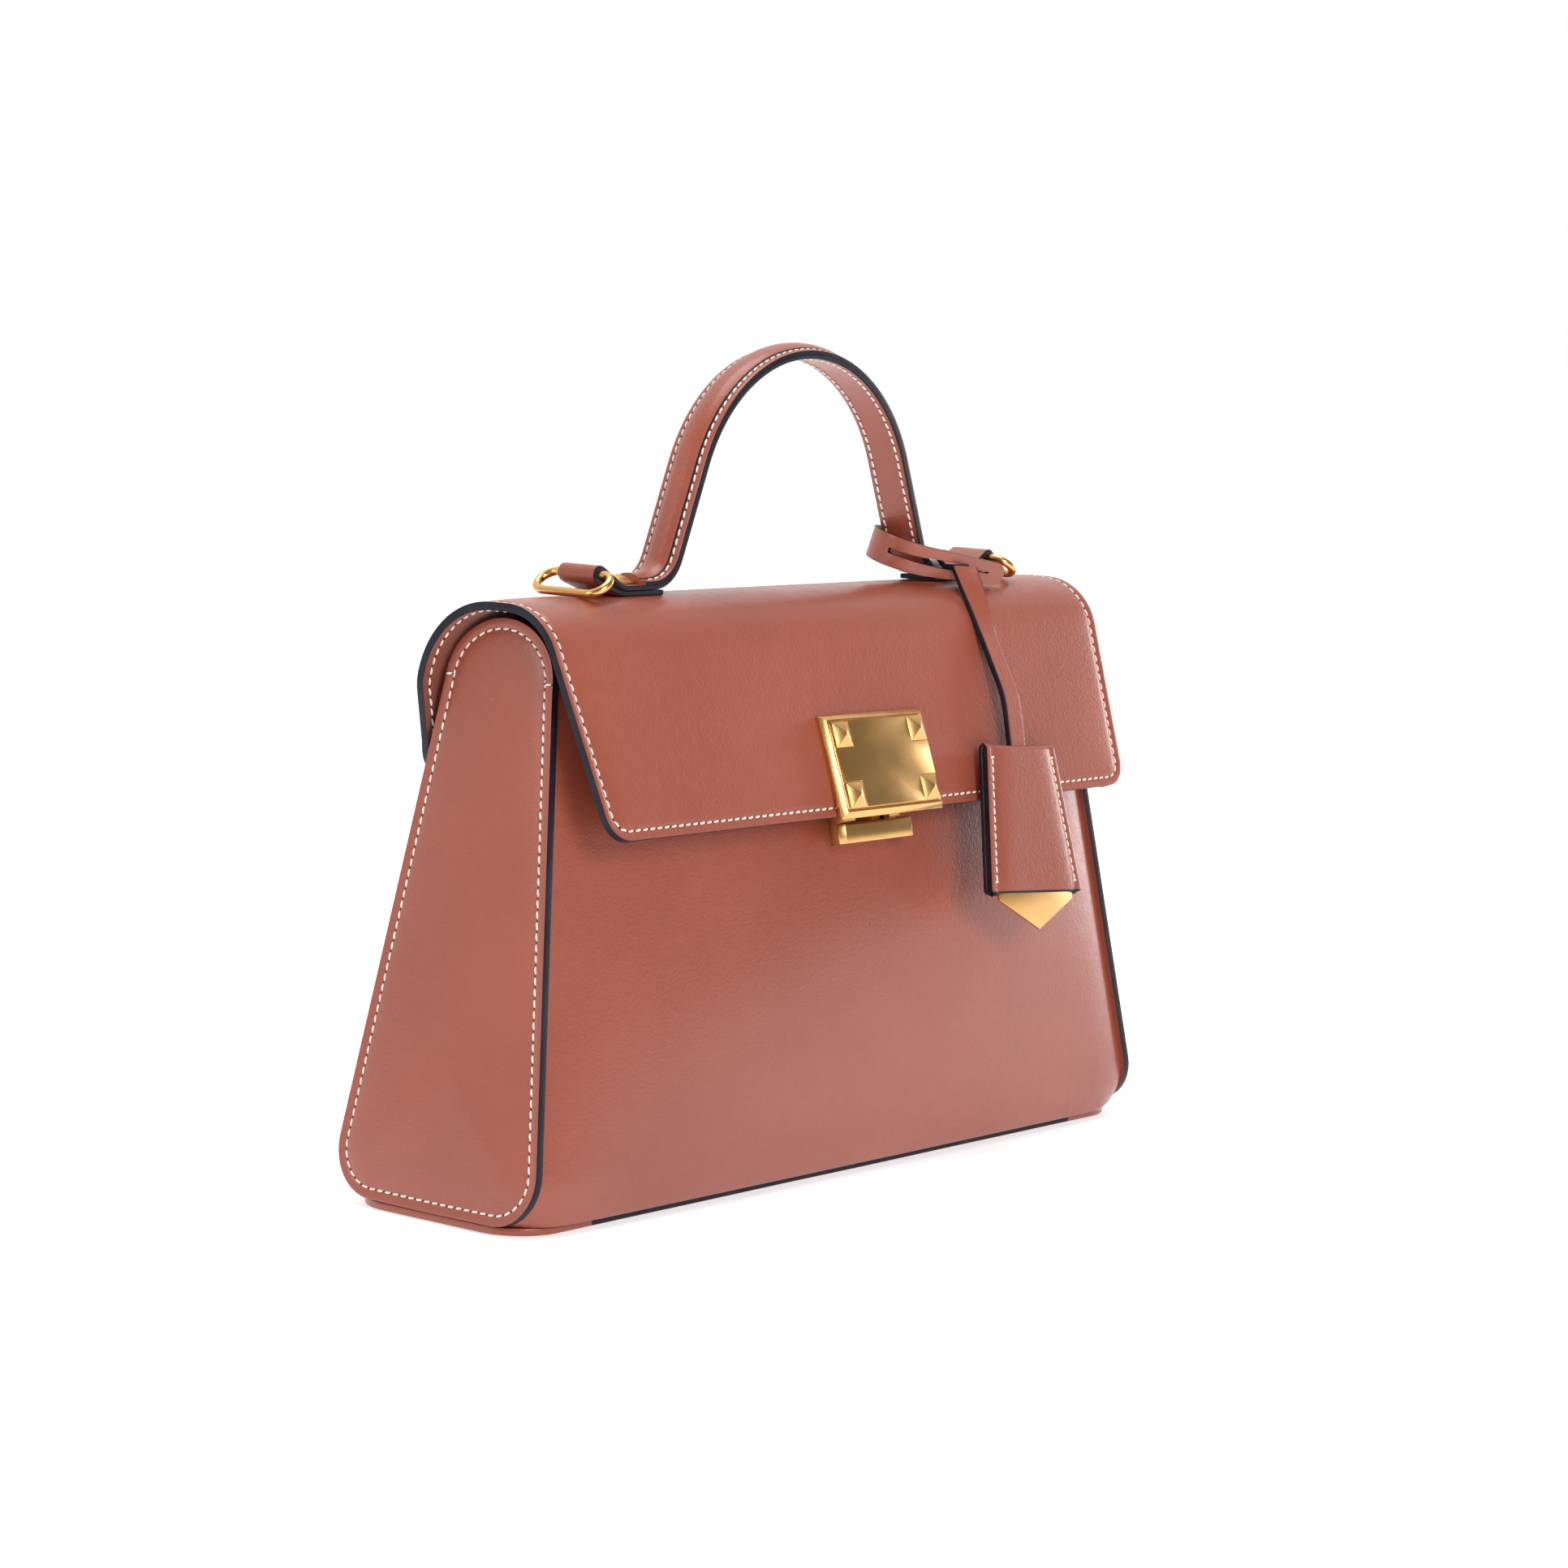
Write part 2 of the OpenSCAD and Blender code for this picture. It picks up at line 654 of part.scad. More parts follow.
// The stub ends in the middle of the plate under the flap
flap_in = [cos(flap_lean), -sin(flap_lean)];
plate_mid = flap_edge + (flap_t + foot_plate_t / 2) * flap_in;
stub_mid = [-front_y(case_z), case_z] + (stub_z + stub_h / 2) * [sin(case_lean), cos(case_lean)];
stub_root = (stub_mid - plate_mid) * flap_in / cos(flap_lean - case_lean);

module lock_foot_plate() {
    color("goldenrod") difference() {
        union() {
            at_flap() translate([foot_plate_in - plate_w / 2, flap_t, foot_plate_up])
                cube([plate_w - 2 * foot_plate_in, foot_plate_t,
                      plate_h - plate_drop - foot_plate_top_in - foot_plate_up]);
            at_case() translate([-stub_w / 2, -stub_root, stub_z])
                cube([stub_w, stub_root - stub_out, stub_h]);
        }
        lock_holes();
    }
}

// Lock case on the front panel
module case_box(w, y0, y1, z0, z1) {
    translate([-w / 2, -y1, z0]) cube([w, y1 - y0, z1 - z0]);
}

module lock_case() {
    color("darkgoldenrod") difference() {
        at_case() difference() {
            union() {
                case_box(case_w, seat_gap, cheek_d, tab_top + soft_gap, case_up);
                case_box(case_w, seat_gap, low_cheek_d, -case_down, tab_top + soft_gap);
            }
            case_box(channel_w, wall_out, cheek_d + over, -case_down + case_floor, case_up + over);
        }
        case_screw_holes();
    }
}

module lock_spring() {
    color("silver") at_case()
        case_box(spring_w, wall_out, spring_out, -case_down + 2 * case_floor, case_up - 2 * nose_h);
}

module lock_tab() {
    color("gold") at_case() {
        difference() {
            case_box(tab_w, tab_out - tab_t, tab_out, tab_top - tab_h, tab_top);
            for (s = [-1, 1]) translate([s * tab_w / 2, -tab_out, tab_top - tab_h - over])
                rotate([0, 0, 45]) translate([-tab_t / 2, -tab_t / 2, 0])
                    cube([tab_t, tab_t, tab_h + 2 * over]);
        }
        case_box(slider_w, nose_root - eps, tab_out - tab_t + eps, slide_foot, tab_top);
        case_box(slider_w, slide_out, nose_root, slide_foot, stub_z + stub_h + soft_gap + nose_h);
        case_box(stub_w, nose_root - eps, nose_root + nose_out, stub_z + stub_h + soft_gap,
                 stub_z + stub_h + soft_gap + nose_h);
    }
}

module lock_clamp() {
    color("silver") difference() {
        at_case() translate([-case_w / 2, panel_t + lining_t + soft_gap, -case_down])
            cube([case_w, clamp_t, case_up + case_down]);
        case_screw_holes();
    }
}

module case_screws() {
    color("silver") {
        case_screw_rods(lock_screw_d, -screw_depth, case_screw_in + seat_gap);
        case_screw_rods(screw_head_d, case_screw_in, case_screw_in + screw_head_t);
    }
}

// Handle
foot_z = flap_top + return_t + strap_t + cover_t;
handle_top = flap_top + handle_rise;
arch_c = [0, handle_top - arch_r];
turn_z = foot_z + foot_turn_r;
turn_x = (arch_r + foot_turn_r - (turn_z - arch_c[1]) * sin(leg_lean)) / cos(leg_lean);
turn_c = [turn_x, turn_z];

function half_arch(o) = concat(
    arc(arch_c, arch_r - o, 90, leg_lean, arc_n),
    arc(turn_c, foot_turn_r + o, 180 + leg_lean, 270, arc_n));
function flip(p) = [for (q = p) [-q[0], q[1]]];
function whole(p) = concat(rev(flip(p)), [for (i = [1:len(p) - 1]) p[i]]);
function arch_line(o, x_end) = whole(concat(half_arch(o), [[x_end, foot_z - o]]));

module across(w) {
    translate([0, handle_y + w / 2, 0]) rotate([90, 0, 0]) linear_extrude(w) children();
}

core_x = turn_x + soft_gap;

module handle_core() {
    color("tan") across(core_w)
        polygon(concat(arch_line(cover_t - core_t, core_x), rev(arch_line(cover_t, core_x))));
}

module handle_cover() {
    color("sienna") difference() {
        union() {
            across(handle_w)
                polygon(concat(arch_line(0, cover_end_x), rev(arch_line(cover_t, cover_end_x))));
            across(core_w + 2 * cover_t)
                polygon(concat(arch_line(-core_t, core_x), rev(arch_line(cover_t / 2, core_x))));
        }
        across(core_w)
            polygon(concat(arch_line(cover_t - core_t, core_x), rev(arch_line(cover_t, core_x))));
    }
}

bar = [ring_bar_x, flap_top + ring_bar_up];
bore_r = rod_d / 2 + run_gap;
coil_r = bore_r + strap_t;
strap_top = foot_z - cover_t;
rise_x = (stud_x + stud_w / 2 + ring_bar_x) / 2 - coil_r / 2;
rise_run = [bar[0] - rise_x, bar[1] - strap_top];
up_a = atan2(rise_run[1], rise_run[0]) + asin(coil_r / norm(rise_run));
low_a = atan2(bar[1] - flap_top, bar[0] - rise_x) - asin(coil_r / norm([bar[0] - rise_x, bar[1] - flap_top]));

// Strap outline: arch, foot, round the ring bar and back underneath
half_strap_out = concat(
    half_arch(cover_t), [[rise_x, strap_top]],
    arc(bar, coil_r, 90 + up_a, low_a - 90, 2 * arc_n),
    [[rise_x, flap_top], [return_end_x, flap_top], [return_end_x + return_t, strap_top - strap_t]],
    rev(half_arch(cover_t + strap_t)));

module handle_strap() {
    color("peru") difference() {
        across(handle_w) difference() {
            polygon(concat(half_strap_out, rev(flip(half_strap_out))));
            for (s = [-1, 1]) translate([s * bar[0], bar[1]]) circle(r = bore_r, $fn = fine);
        }
        post_holes();
    }
}

washer_z = flap_top - flap_t - washer_t;

module handle_studs() {
    color("gold") for (s = [-1, 1]) translate([s * stud_x, handle_y, 0]) {
        translate([0, 0, strap_top])
            bevel_block(stud_w, stud_w, stud_h, stud_h / 4, flat_tip, flat_tip);
        translate([0, 0, washer_z - washer_t])
            cylinder(d = post_d, h = strap_top - washer_z + washer_t + seat_gap, $fn = fine);
        translate([0, 0, washer_z - washer_t])
            cylinder(d = post_d + washer_t, h = washer_t - seat_gap, $fn = fine);
    }
}

module handle_washers() {
    color("silver") for (s = [-1, 1]) translate([s * stud_x, handle_y, washer_z]) difference() {
        cylinder(d = washer_d, h = washer_t - seat_gap, $fn = fine);
        translate([0, 0, -over]) cylinder(d = post_d + 2 * hole_gap, h = washer_t + 2 * over, $fn = fine);
    }
}

// Rings
ring_straight = ring_l - rod_d - ring_pitch;
ring_drop = asin((ring_bar_up - rod_d / 2 - ring_rest_gap) / ring_pitch);

module ring() {
    translate([bar[0], handle_y, bar[1]]) rotate([0, ring_drop, 0]) {
        for (x = [0, ring_pitch]) translate([x, ring_straight / 2, 0]) rotate([90, 0, 0])
            cylinder(d = rod_d, h = ring_straight, $fn = fine);
        for (s = [0, 180]) translate([ring_pitch / 2, 0, 0]) rotate([0, 0, s])
            translate([0, ring_straight / 2, 0]) rotate_extrude(angle = 180, $fn = fine)
                translate([ring_pitch / 2, 0]) circle(d = rod_d, $fn = fine);
    }
}

module right_ring() { color("gold") ring(); }
module left_ring() { color("gold") mirror([1, 0, 0]) ring(); }

// Hitch loop and key bell
slit_z = flap_top + loop_z;
bend_r = (handle_w + 2 * loop_play + charm_t) / 2;
bend_x = loop_left_x + bend_r;
band_y = handle_y - bend_r;
tip_y = band_y - loop_tip_out;
band_slope = atan((band_y - tip_y) / (loop_tip_x - bend_x));
function band_mid(x) = band_y - (x - bend_x) * tan(band_slope);

loop_line = concat([[loop_tip_x, tip_y]],
    arc([bend_x, handle_y], bend_r, 270 - band_slope, 90, 2 * arc_n),
    [[charm_x + charm_w / 2, handle_y + bend_r]]);

// Outline of the loop, round at its tip, taller at the turn
function strap_end_outline() = let (
    r = loop_tip_h / 2,
    lean = asin((loop_h - loop_tip_h) / 2 / (loop_tip_x - loop_left_x)),
    tip = [loop_tip_x - r - charm_x, 0],
    left = [loop_left_x - charm_w - charm_x, 0])
    concat(arc(tip, r, lean - 90, 90 - lean, arc_n),
        [left + [0, loop_h / 2 + charm_w * sin(lean)], left - [0, loop_h / 2 + charm_w * sin(lean)]]);

slit_y = band_mid(charm_x);
tongue_line = [
    [slit_y + (handle_y + bend_r - slit_y) * cos(loop_pitch), loop_climb],
    [slit_y + charm_t + loop_climb, loop_climb], [slit_y + charm_t, 0], [slit_y - charm_t, 0]];

module hitch_loop() {
    color("sienna") {
        translate([charm_x, slit_y, slit_z]) rotate([loop_pitch, loop_fall, 0]) difference() {
            intersection() {
                translate([-charm_x, -slit_y, -loop_h]) linear_extrude(2 * loop_h)
                    polygon(band(loop_line, charm_t));
                translate([0, loop_tip_x, 0]) rotate([90, 0, 0]) linear_extrude(2 * loop_tip_x)
                    polygon(strap_end_outline());
            }
            translate([loop_left_x - charm_x + charm_t, -loop_tip_x, -slit_h / 2])
                cube([loop_tip_x - loop_left_x - loop_tip_h - charm_t,
                      loop_tip_x + handle_y - slit_y, slit_h]);
        }
        translate([charm_x - charm_w / 2, 0, slit_z]) rotate([90, 0, 90]) linear_extrude(charm_w)
            polygon(band(tongue_line, charm_t));
    }
}

// The hanging strap turns here, just outside the slit
turn_y = slit_y - charm_t - soft_gap - charm_t / 2;

module at_charm() {
    translate([charm_x, turn_y, slit_z]) rotate([0, charm_tilt, 0]) children();
}

// Middle line of the strap: round the shoulder of the flap, then straight through the bell
seat_y = flap_edge[0] - soft_gap - bell_t / 2 / cos(bell_lean);
function hang_y(z) = seat_y + (z - flap_front_z) * tan(bell_lean);
turn = [turn_y, slit_z];
brow_r = front_shoulder_r + soft_gap + charm_t / 2;
brow_a = atan2(turn[1] - c1[1], turn[0] - c1[0]) + acos(brow_r / norm(turn - c1));
straight_z = bell_z + bell_travel + soft_gap;
stack_t = skive_t + key_t;
stack_mid = charm_t / 2 - stack_t / 2;
stem_top = -leaf_t - soft_gap;
strap_foot = stem_top - 4 * key_rivet_d;
bell_down = [-sin(bell_lean), -cos(bell_lean)];
bell_in = [cos(bell_lean), -sin(bell_lean)];
strap_end = [hang_y(bell_z), bell_z] - turn - (stem_top + seat_gap) * bell_down;
charm_line = concat([[0, 0]],
    [for (p = arc(c1, brow_r, brow_a, 180 - flap_lean, arc_n)) p - turn],
    [[hang_y(straight_z), straight_z] - turn, strap_end]);
first_a = atan2(charm_line[1][1], charm_line[1][0]);
pared = (stem_top - strap_foot + seat_gap) * bell_down;
strap_outline = concat(
    beside(charm_line, charm_t / 2),
    [strap_end + pared + charm_t / 2 * bell_in, strap_end + pared + (charm_t / 2 - skive_t) * bell_in,
     strap_end + (charm_t / 2 - skive_t) * bell_in],
    rev(beside(charm_line, -charm_t / 2)),
    [for (i = [1:arc_n - 1]) let (a = first_a - 90 - 180 * i / arc_n) charm_t / 2 * [cos(a), sin(a)]]);

// Place children at the top of the bell, Y into the bag and Z up the strap
module at_bell() {
    at_charm() translate([0, hang_y(bell_z) - turn_y, bell_z - slit_z]) rotate([-bell_lean, 0, 0]) children();
}

module rivet_rod(d, slack) {
    at_bell() translate([0, charm_t / 2 + slack, stem_top - 2 * key_rivet_d]) rotate([90, 0, 0])
        cylinder(d = d, h = stack_t + 2 * slack, $fn = fine);
}

module charm_strap() {
    color("sienna") difference() {
        at_charm() translate([-charm_w / 2, 0, 0]) rotate([90, 0, 90]) linear_extrude(charm_w)
            polygon(strap_outline);
        rivet_rod(key_rivet_d + 2 * hole_gap, over);
    }
}

key_tip = -bell_l - key_show;
key_shoulder = key_tip + key_point;

module key_plate() {
    color("gold") difference() {
        at_bell() translate([0, charm_t / 2 - skive_t, 0]) rotate([90, 0, 0]) linear_extrude(key_t)
            polygon([[0, key_tip], [key_w / 2, key_shoulder], [key_w / 2, key_shoulder + key_wide_h],
                     [key_stem_w / 2, key_shoulder + key_wide_h + key_stem_w / 2], [key_stem_w / 2, stem_top],
                     [-key_stem_w / 2, stem_top],
                     [-key_stem_w / 2, key_shoulder + key_wide_h + key_stem_w / 2],
                     [-key_w / 2, key_shoulder + key_wide_h], [-key_w / 2, key_shoulder]]);
        rivet_rod(key_rivet_d + 2 * hole_gap, over);
    }
}

module key_rivet() {
    color("goldenrod") rivet_rod(key_rivet_d, 0);
}

module bell() {
    inner = bell_t - 2 * leaf_t;
    slope_w = (bell_foot_w - bell_top_w) / bell_l;
    color("sienna") at_bell() translate([0, stack_mid, 0]) difference() {
        translate([0, bell_t / 2, 0]) rotate([90, 0, 0]) linear_extrude(bell_t)
            polygon([[-bell_top_w / 2, 0], [bell_top_w / 2, 0],
                     [bell_foot_w / 2, -bell_l], [-bell_foot_w / 2, -bell_l]]);
        translate([0, inner / 2, 0]) rotate([90, 0, 0]) linear_extrude(inner)
            polygon([[bell_margin - bell_top_w / 2, -leaf_t], [bell_top_w / 2 - bell_margin, -leaf_t],
                     [bell_foot_w / 2 - bell_margin + slope_w * over, -bell_l - over],
                     [bell_margin - bell_foot_w / 2 - slope_w * over, -bell_l - over]]);
        translate([-charm_w / 2 - soft_gap, -stack_mid - charm_t / 2 - soft_gap, -leaf_t - over])
            cube([charm_w + 2 * soft_gap, charm_t + 2 * soft_gap, leaf_t + 2 * over]);
    }
}

front_panel();
back_panel();
left_gusset();
right_gusset();
base_plate();
base_board();
front_lining();
back_lining();
left_gusset_lining();
right_gusset_lining();
base_lining();
slip_pocket();
flap_seam();
lock_case();
lock_spring();
lock_clamp();
case_screws();
lock_tab();
flap_leather();
flap_board();
flap_lining();
lock_frame();
lock_cover();
lock_studs();
lock_foot_plate();
lock_screws();
handle_cover();
handle_core();
handle_strap();
handle_studs();
handle_washers();
hitch_loop();
left_ring();
right_ring();
charm_strap();
key_plate();
key_rivet();
bell();
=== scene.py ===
# %% [markdown]
# # A leather handbag with a key bell
# The construction of this bag, its plates, straps and joints, was drawn first and comes in as a
# fixed frame. This lesson dresses that frame: every leather part is modelled again with soft
# crowns, painted edges and stitches, and the metal gets its rounded edges and a brass finish.

# %% The fixed frame
import math
import bpy
import numpy as np
from mathutils import Matrix, Vector, noise


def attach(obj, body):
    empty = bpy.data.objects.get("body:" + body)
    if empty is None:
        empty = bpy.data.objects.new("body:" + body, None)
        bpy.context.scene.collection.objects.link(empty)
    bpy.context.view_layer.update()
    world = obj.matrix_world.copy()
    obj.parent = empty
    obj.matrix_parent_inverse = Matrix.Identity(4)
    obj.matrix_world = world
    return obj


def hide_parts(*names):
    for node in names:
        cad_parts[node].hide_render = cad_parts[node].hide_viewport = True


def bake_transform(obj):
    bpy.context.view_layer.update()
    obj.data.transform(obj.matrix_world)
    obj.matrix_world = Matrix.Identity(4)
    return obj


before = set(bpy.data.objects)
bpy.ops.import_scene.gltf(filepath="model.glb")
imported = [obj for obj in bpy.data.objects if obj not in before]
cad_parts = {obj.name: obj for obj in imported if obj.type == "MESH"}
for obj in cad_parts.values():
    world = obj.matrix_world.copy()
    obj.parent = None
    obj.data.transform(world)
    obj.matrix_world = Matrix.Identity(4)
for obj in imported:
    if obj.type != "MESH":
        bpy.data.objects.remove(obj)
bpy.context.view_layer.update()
print("nodes to dress:", len(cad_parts))

# %% [markdown]
# Blender works in metres and the maker's notes are in millimetres, so one short helper converts.
# Most of the others treat points as rows of numbers, so one line can place a whole seam or sheet,
# and the last one puts something new into the scene.

# %% Short rules
def mm(*v):
    return Vector(v) / 1000

def cols(*parts):
    """Points from columns side by side; a single number fills its whole column."""
    return np.stack(np.broadcast_arrays(*parts), -1)

def run(path):
    """How far along a polyline each of its points lies."""
    return np.concatenate([[0], np.cumsum(np.linalg.norm(np.diff(path, axis=0), axis=1))])

def trace(path, length, where):
    """Points of a polyline at the given distances along it."""
    return np.stack([np.interp(where, length, column) for column in path.T], 1)

def normed(rows):
    return rows / np.linalg.norm(rows, axis=1)[:, None]

def left(ways):
    """Unit vectors to the left of directions in a plane."""
    ways = normed(ways)
    return np.stack([-ways[:, 1], ways[:, 0]], 1)

def index(share, n):
    return np.round(share * n).astype(int)

def slow(x, y, x_scale, y_scale, seed):
    """Slow unevenness, one value for each point."""
    spots = zip(np.ravel(x) * x_scale, np.ravel(y) * y_scale)
    return np.array([noise.noise(Vector((p, q, seed))) for p, q in spots])

def add(name, data):
    """A new object in the scene."""
    obj = bpy.data.objects.new(name, data)
    bpy.context.scene.collection.objects.link(obj)
    return obj

print("length of a 3 by 4 mm corner:", run(np.array([[3, 0], [0, 0], [0, 4]]))[-1], "mm")

# %% [markdown]
# The camera comes first, because every later picture is judged through it. It was found by
# matching corners of the bag in the photograph with the same corners of the frame. It stands
# about 1.3 m away, a little above the middle of the bag, and rolls two degrees.

# %% Camera
IMAGE_PX, FOCAL_PX = 1932, 5307.7
right = Vector((0.63176, -0.774334, 0.035862))
up = Vector((0.066731, 0.100419, 0.992705))
ahead = Vector((0.772287, 0.624758, -0.115113))
eye = mm(-1037.11, -844.17, 272.51)
camera = add("camera", bpy.data.cameras.new("camera"))
turn = Matrix((right, up, -ahead)).transposed().to_quaternion().to_matrix().to_4x4()
camera.matrix_world = Matrix.Translation(eye) @ turn
camera.data.sensor_width = 36
camera.data.lens = camera.data.sensor_width * FOCAL_PX / IMAGE_PX
camera.data.clip_start, camera.data.clip_end = 0.05, 20
bpy.context.scene.camera = camera
print("camera distance", round(eye.length, 3), "m")

# %% [markdown]
# Leather is the main finish. The real hide is smooth and evenly dyed, with a grain so fine that
# it only breaks up the highlight. Three things make it: a base colour that drifts slowly between
# two close tones, a cell pattern of less than a millimetre used as bump, and a slightly uneven
# roughness. All of it reads Object coordinates, so it has the same scale on every piece.

# %% Leather
def node(mat, kind, **values):
    made = mat.node_tree.nodes.new(kind)
    for key, value in values.items():
        if key.replace("_", " ") in made.inputs:
            made.inputs[key.replace("_", " ")].default_value = value
        else:
            setattr(made, key, value)
    return made

def join(mat, a, out, b, into):
    mat.node_tree.links.new(a.outputs[out], b.inputs[into])

def texture(mat, kind, **values):
    """A texture node that reads Object coordinates."""
    made = node(mat, kind, **values)
    join(mat, node(mat, "ShaderNodeTexCoord"), "Object", made, "Vector")
    return made

def tones(mat, shader, dark, light, scale):
    """Base colour that drifts between two tones over about 1/scale metres."""
    drift = texture(mat, "ShaderNodeTexNoise", Scale=scale, Detail=3.0)
    ramp = node(mat, "ShaderNodeValToRGB")
    for stop, spot, colour in zip(ramp.color_ramp.elements, (0.35, 0.65), (dark, light)):
        stop.position, stop.color = spot, (*colour, 1)
    join(mat, drift, "Fac", ramp, "Fac")
    join(mat, ramp, "Color", shader, "Base Color")

def uneven_gloss(mat, shader, scale, low, high):
    """Roughness that wanders between low and high."""
    wear = texture(mat, "ShaderNodeTexNoise", Scale=scale, Detail=4.0)
    span = node(mat, "ShaderNodeMapRange", From_Min=0.3, From_Max=0.7, To_Min=low, To_Max=high)
    join(mat, wear, "Fac", span, "Value")
    join(mat, span, "Result", shader, "Roughness")

def grain(mat, shader, cell, height):
    """Bump from small cells mixed with a softer noise, like pores in a hide."""
    cells = texture(mat, "ShaderNodeTexVoronoi", Scale=1 / cell, feature="SMOOTH_F1", Smoothness=0.6)
    pores = texture(mat, "ShaderNodeTexNoise", Scale=0.4 / cell, Detail=4.0)
    both = node(mat, "ShaderNodeMath", operation="ADD")
    bump = node(mat, "ShaderNodeBump", Strength=0.5, Distance=height)
    join(mat, cells, "Distance", both, 0)
    join(mat, pores, "Fac", both, 1)
    join(mat, both, "Value", bump, "Height")
    join(mat, bump, "Normal", shader, "Normal")

def finish(name, colour, rough, metal=0.0, drift=None, cells=None, gloss=None, **sockets):
    """drift: dark, light, scale; cells: size, height; gloss: scale, low, high."""
    mat = bpy.data.materials.new(name)
    mat.use_nodes = True
    shader = mat.node_tree.nodes["Principled BSDF"]
    sockets.update(Base_Color=(*colour, 1), Roughness=rough, Metallic=metal)
    for key, value in sockets.items():
        shader.inputs[key.replace("_", " ")].default_value = value
    for rule, values in ((tones, drift), (grain, cells), (uneven_gloss, gloss)):
        if values:
            rule(mat, shader, *values)
    return mat

leather = finish("leather_tan", (0.296, 0.066, 0.035), 0.38,
                 drift=((0.279, 0.060, 0.031), (0.315, 0.072, 0.039), 14), cells=(0.0008, 0.00014),
                 gloss=(220, 0.34, 0.44), Specular_IOR_Level=0.5, Coat_Weight=0.22, Coat_Roughness=0.22)
print("leather nodes:", len(leather.node_tree.nodes))

# %% [markdown]
# The other finishes use the same three rules. The cut edges carry a blue-black paint, the thread
# is cream and uneven in tone, and the lining is a flatter tan hide. The needle holes get an
# almost black colour, which is painted shade for the dark inside each hole. Brass is a metal, so
# its base colour is its reflection, and a slow unevenness in the gloss keeps it from looking like
# plastic.

# %% The other finishes
paint = finish("edge_paint", (0.009, 0.010, 0.017), 0.45, cells=(0.0011, 0.00010), Specular_IOR_Level=0.2,
               drift=((0.007, 0.008, 0.014), (0.014, 0.015, 0.024), 90))
thread = finish("cream_thread", (0.78, 0.70, 0.60), 0.7, cells=(0.00025, 0.00006), Sheen_Weight=0.25,
                drift=((0.70, 0.62, 0.52), (0.86, 0.79, 0.70), 700))
# Painted shade: a near-black that stands for the shadow inside a needle hole.
hole_shade = finish("needle_hole_shade", (0.05, 0.016, 0.012), 0.85,
              drift=((0.035, 0.012, 0.009), (0.07, 0.022, 0.015), 900))
hide = finish("lining_hide", (0.24, 0.062, 0.036), 0.6, cells=(0.0009, 0.00012), Sheen_Weight=0.15,
              drift=((0.22, 0.054, 0.031), (0.26, 0.070, 0.042), 22))
board = finish("filler_board", (0.20, 0.15, 0.10), 0.9, cells=(0.0012, 0.00015),
               drift=((0.16, 0.12, 0.08), (0.26, 0.20, 0.14), 500))
brass = finish("gold_brass", (0.73, 0.42, 0.15), 0.24, 1.0, gloss=(90, 0.2, 0.28),
               drift=((0.69, 0.39, 0.135), (0.77, 0.45, 0.165), 60))
steel = finish("plain_steel", (0.50, 0.50, 0.51), 0.34, 1.0, gloss=(500, 0.28, 0.42),
               drift=((0.44, 0.44, 0.45), (0.56, 0.56, 0.57), 80))
TAN = [leather, paint]
print("finishes:", len(bpy.data.materials))

# %% [markdown]
# Most leather pieces start in the same way, as a grid that is laid in place: each grid point has
# two shares from 0 to 1, and a rule turns the shares into a point in space. A maker does the same
# when a flat cut is laid over a form. The grid is then welded where it meets itself, given its
# thickness by Solidify with its own finish on the rim, and its edges are rounded by Bevel.

# %% Laying and thickening
def clear():
    if bpy.context.object and bpy.context.object.mode != "OBJECT":
        bpy.ops.object.mode_set(mode="OBJECT")
    bpy.ops.object.select_all(action="DESELECT")

def only(obj):
    """Makes obj the one object that is selected and active."""
    clear()
    obj.select_set(True)
    bpy.context.view_layer.objects.active = obj

def edit(obj, *steps):
    """Runs mesh operators on all of obj; each step is (operator, keywords)."""
    only(obj)
    bpy.ops.object.mode_set(mode="EDIT")
    bpy.ops.mesh.select_all(action="SELECT")
    for step, words in steps:
        step(**words)
    bpy.ops.object.mode_set(mode="OBJECT")

def apply(obj, kind, **values):
    only(obj)
    mod = obj.modifiers.new(kind, kind)
    for key, value in values.items():
        setattr(mod, key, value)
    bpy.ops.object.modifier_apply(modifier=mod.name)

def lay(name, across, along, place, finishes, which=None):
    """A grid laid by place(a, b) -> points in mm; which(a, b) -> finish number of each face."""
    clear()
    bpy.ops.mesh.primitive_grid_add(x_subdivisions=across, y_subdivisions=along, size=1)
    obj = bpy.context.object
    obj.name = obj.data.name = name
    flat = np.empty(len(obj.data.vertices) * 3)
    obj.data.vertices.foreach_get("co", flat)
    share = np.clip(flat.reshape(-1, 3)[:, :2] + 0.5, 0, 1)
    for mat in finishes:
        obj.data.materials.append(mat)
    if which is not None:
        mid = np.array([share[list(p.vertices)].mean(0) for p in obj.data.polygons])
        obj.data.polygons.foreach_set("material_index", np.asarray(which(mid[:, 0], mid[:, 1]), int))
    obj.data.vertices.foreach_set("co", (np.asarray(place(share[:, 0], share[:, 1]), float) / 1000).ravel())
    obj.data.update()
    return obj

def weld(obj):
    edit(obj, (bpy.ops.mesh.remove_doubles, dict(threshold=2e-5)),
         (bpy.ops.mesh.dissolve_degenerate, dict(threshold=1e-6)))

def face_towards(obj, way):
    """Turns an open sheet so that most of it looks along way (a vector, or a rule of a point)."""
    total = sum(p.area * p.normal.dot(way(p.center) if callable(way) else way) for p in obj.data.polygons)
    if total < 0:
        edit(obj, (bpy.ops.mesh.flip_normals, {}))

def bevel(obj, width, turn_at=50):
    """Rounds by width mm every edge where the surface turns more than turn_at degrees."""
    apply(obj, "BEVEL", width=width / 1000, segments=2, limit_method="ANGLE",
          angle_limit=math.radians(turn_at))

def thicken(obj, way, t, edge, inner=0, rim=1):
    """Wall of t mm behind the side that looks along way, its edges rounded by edge mm."""
    face_towards(obj, way)
    apply(obj, "SOLIDIFY", thickness=t / 1000, offset=-1, use_even_offset=True,
          material_offset=inner, material_offset_rim=rim)
    bevel(obj, edge)

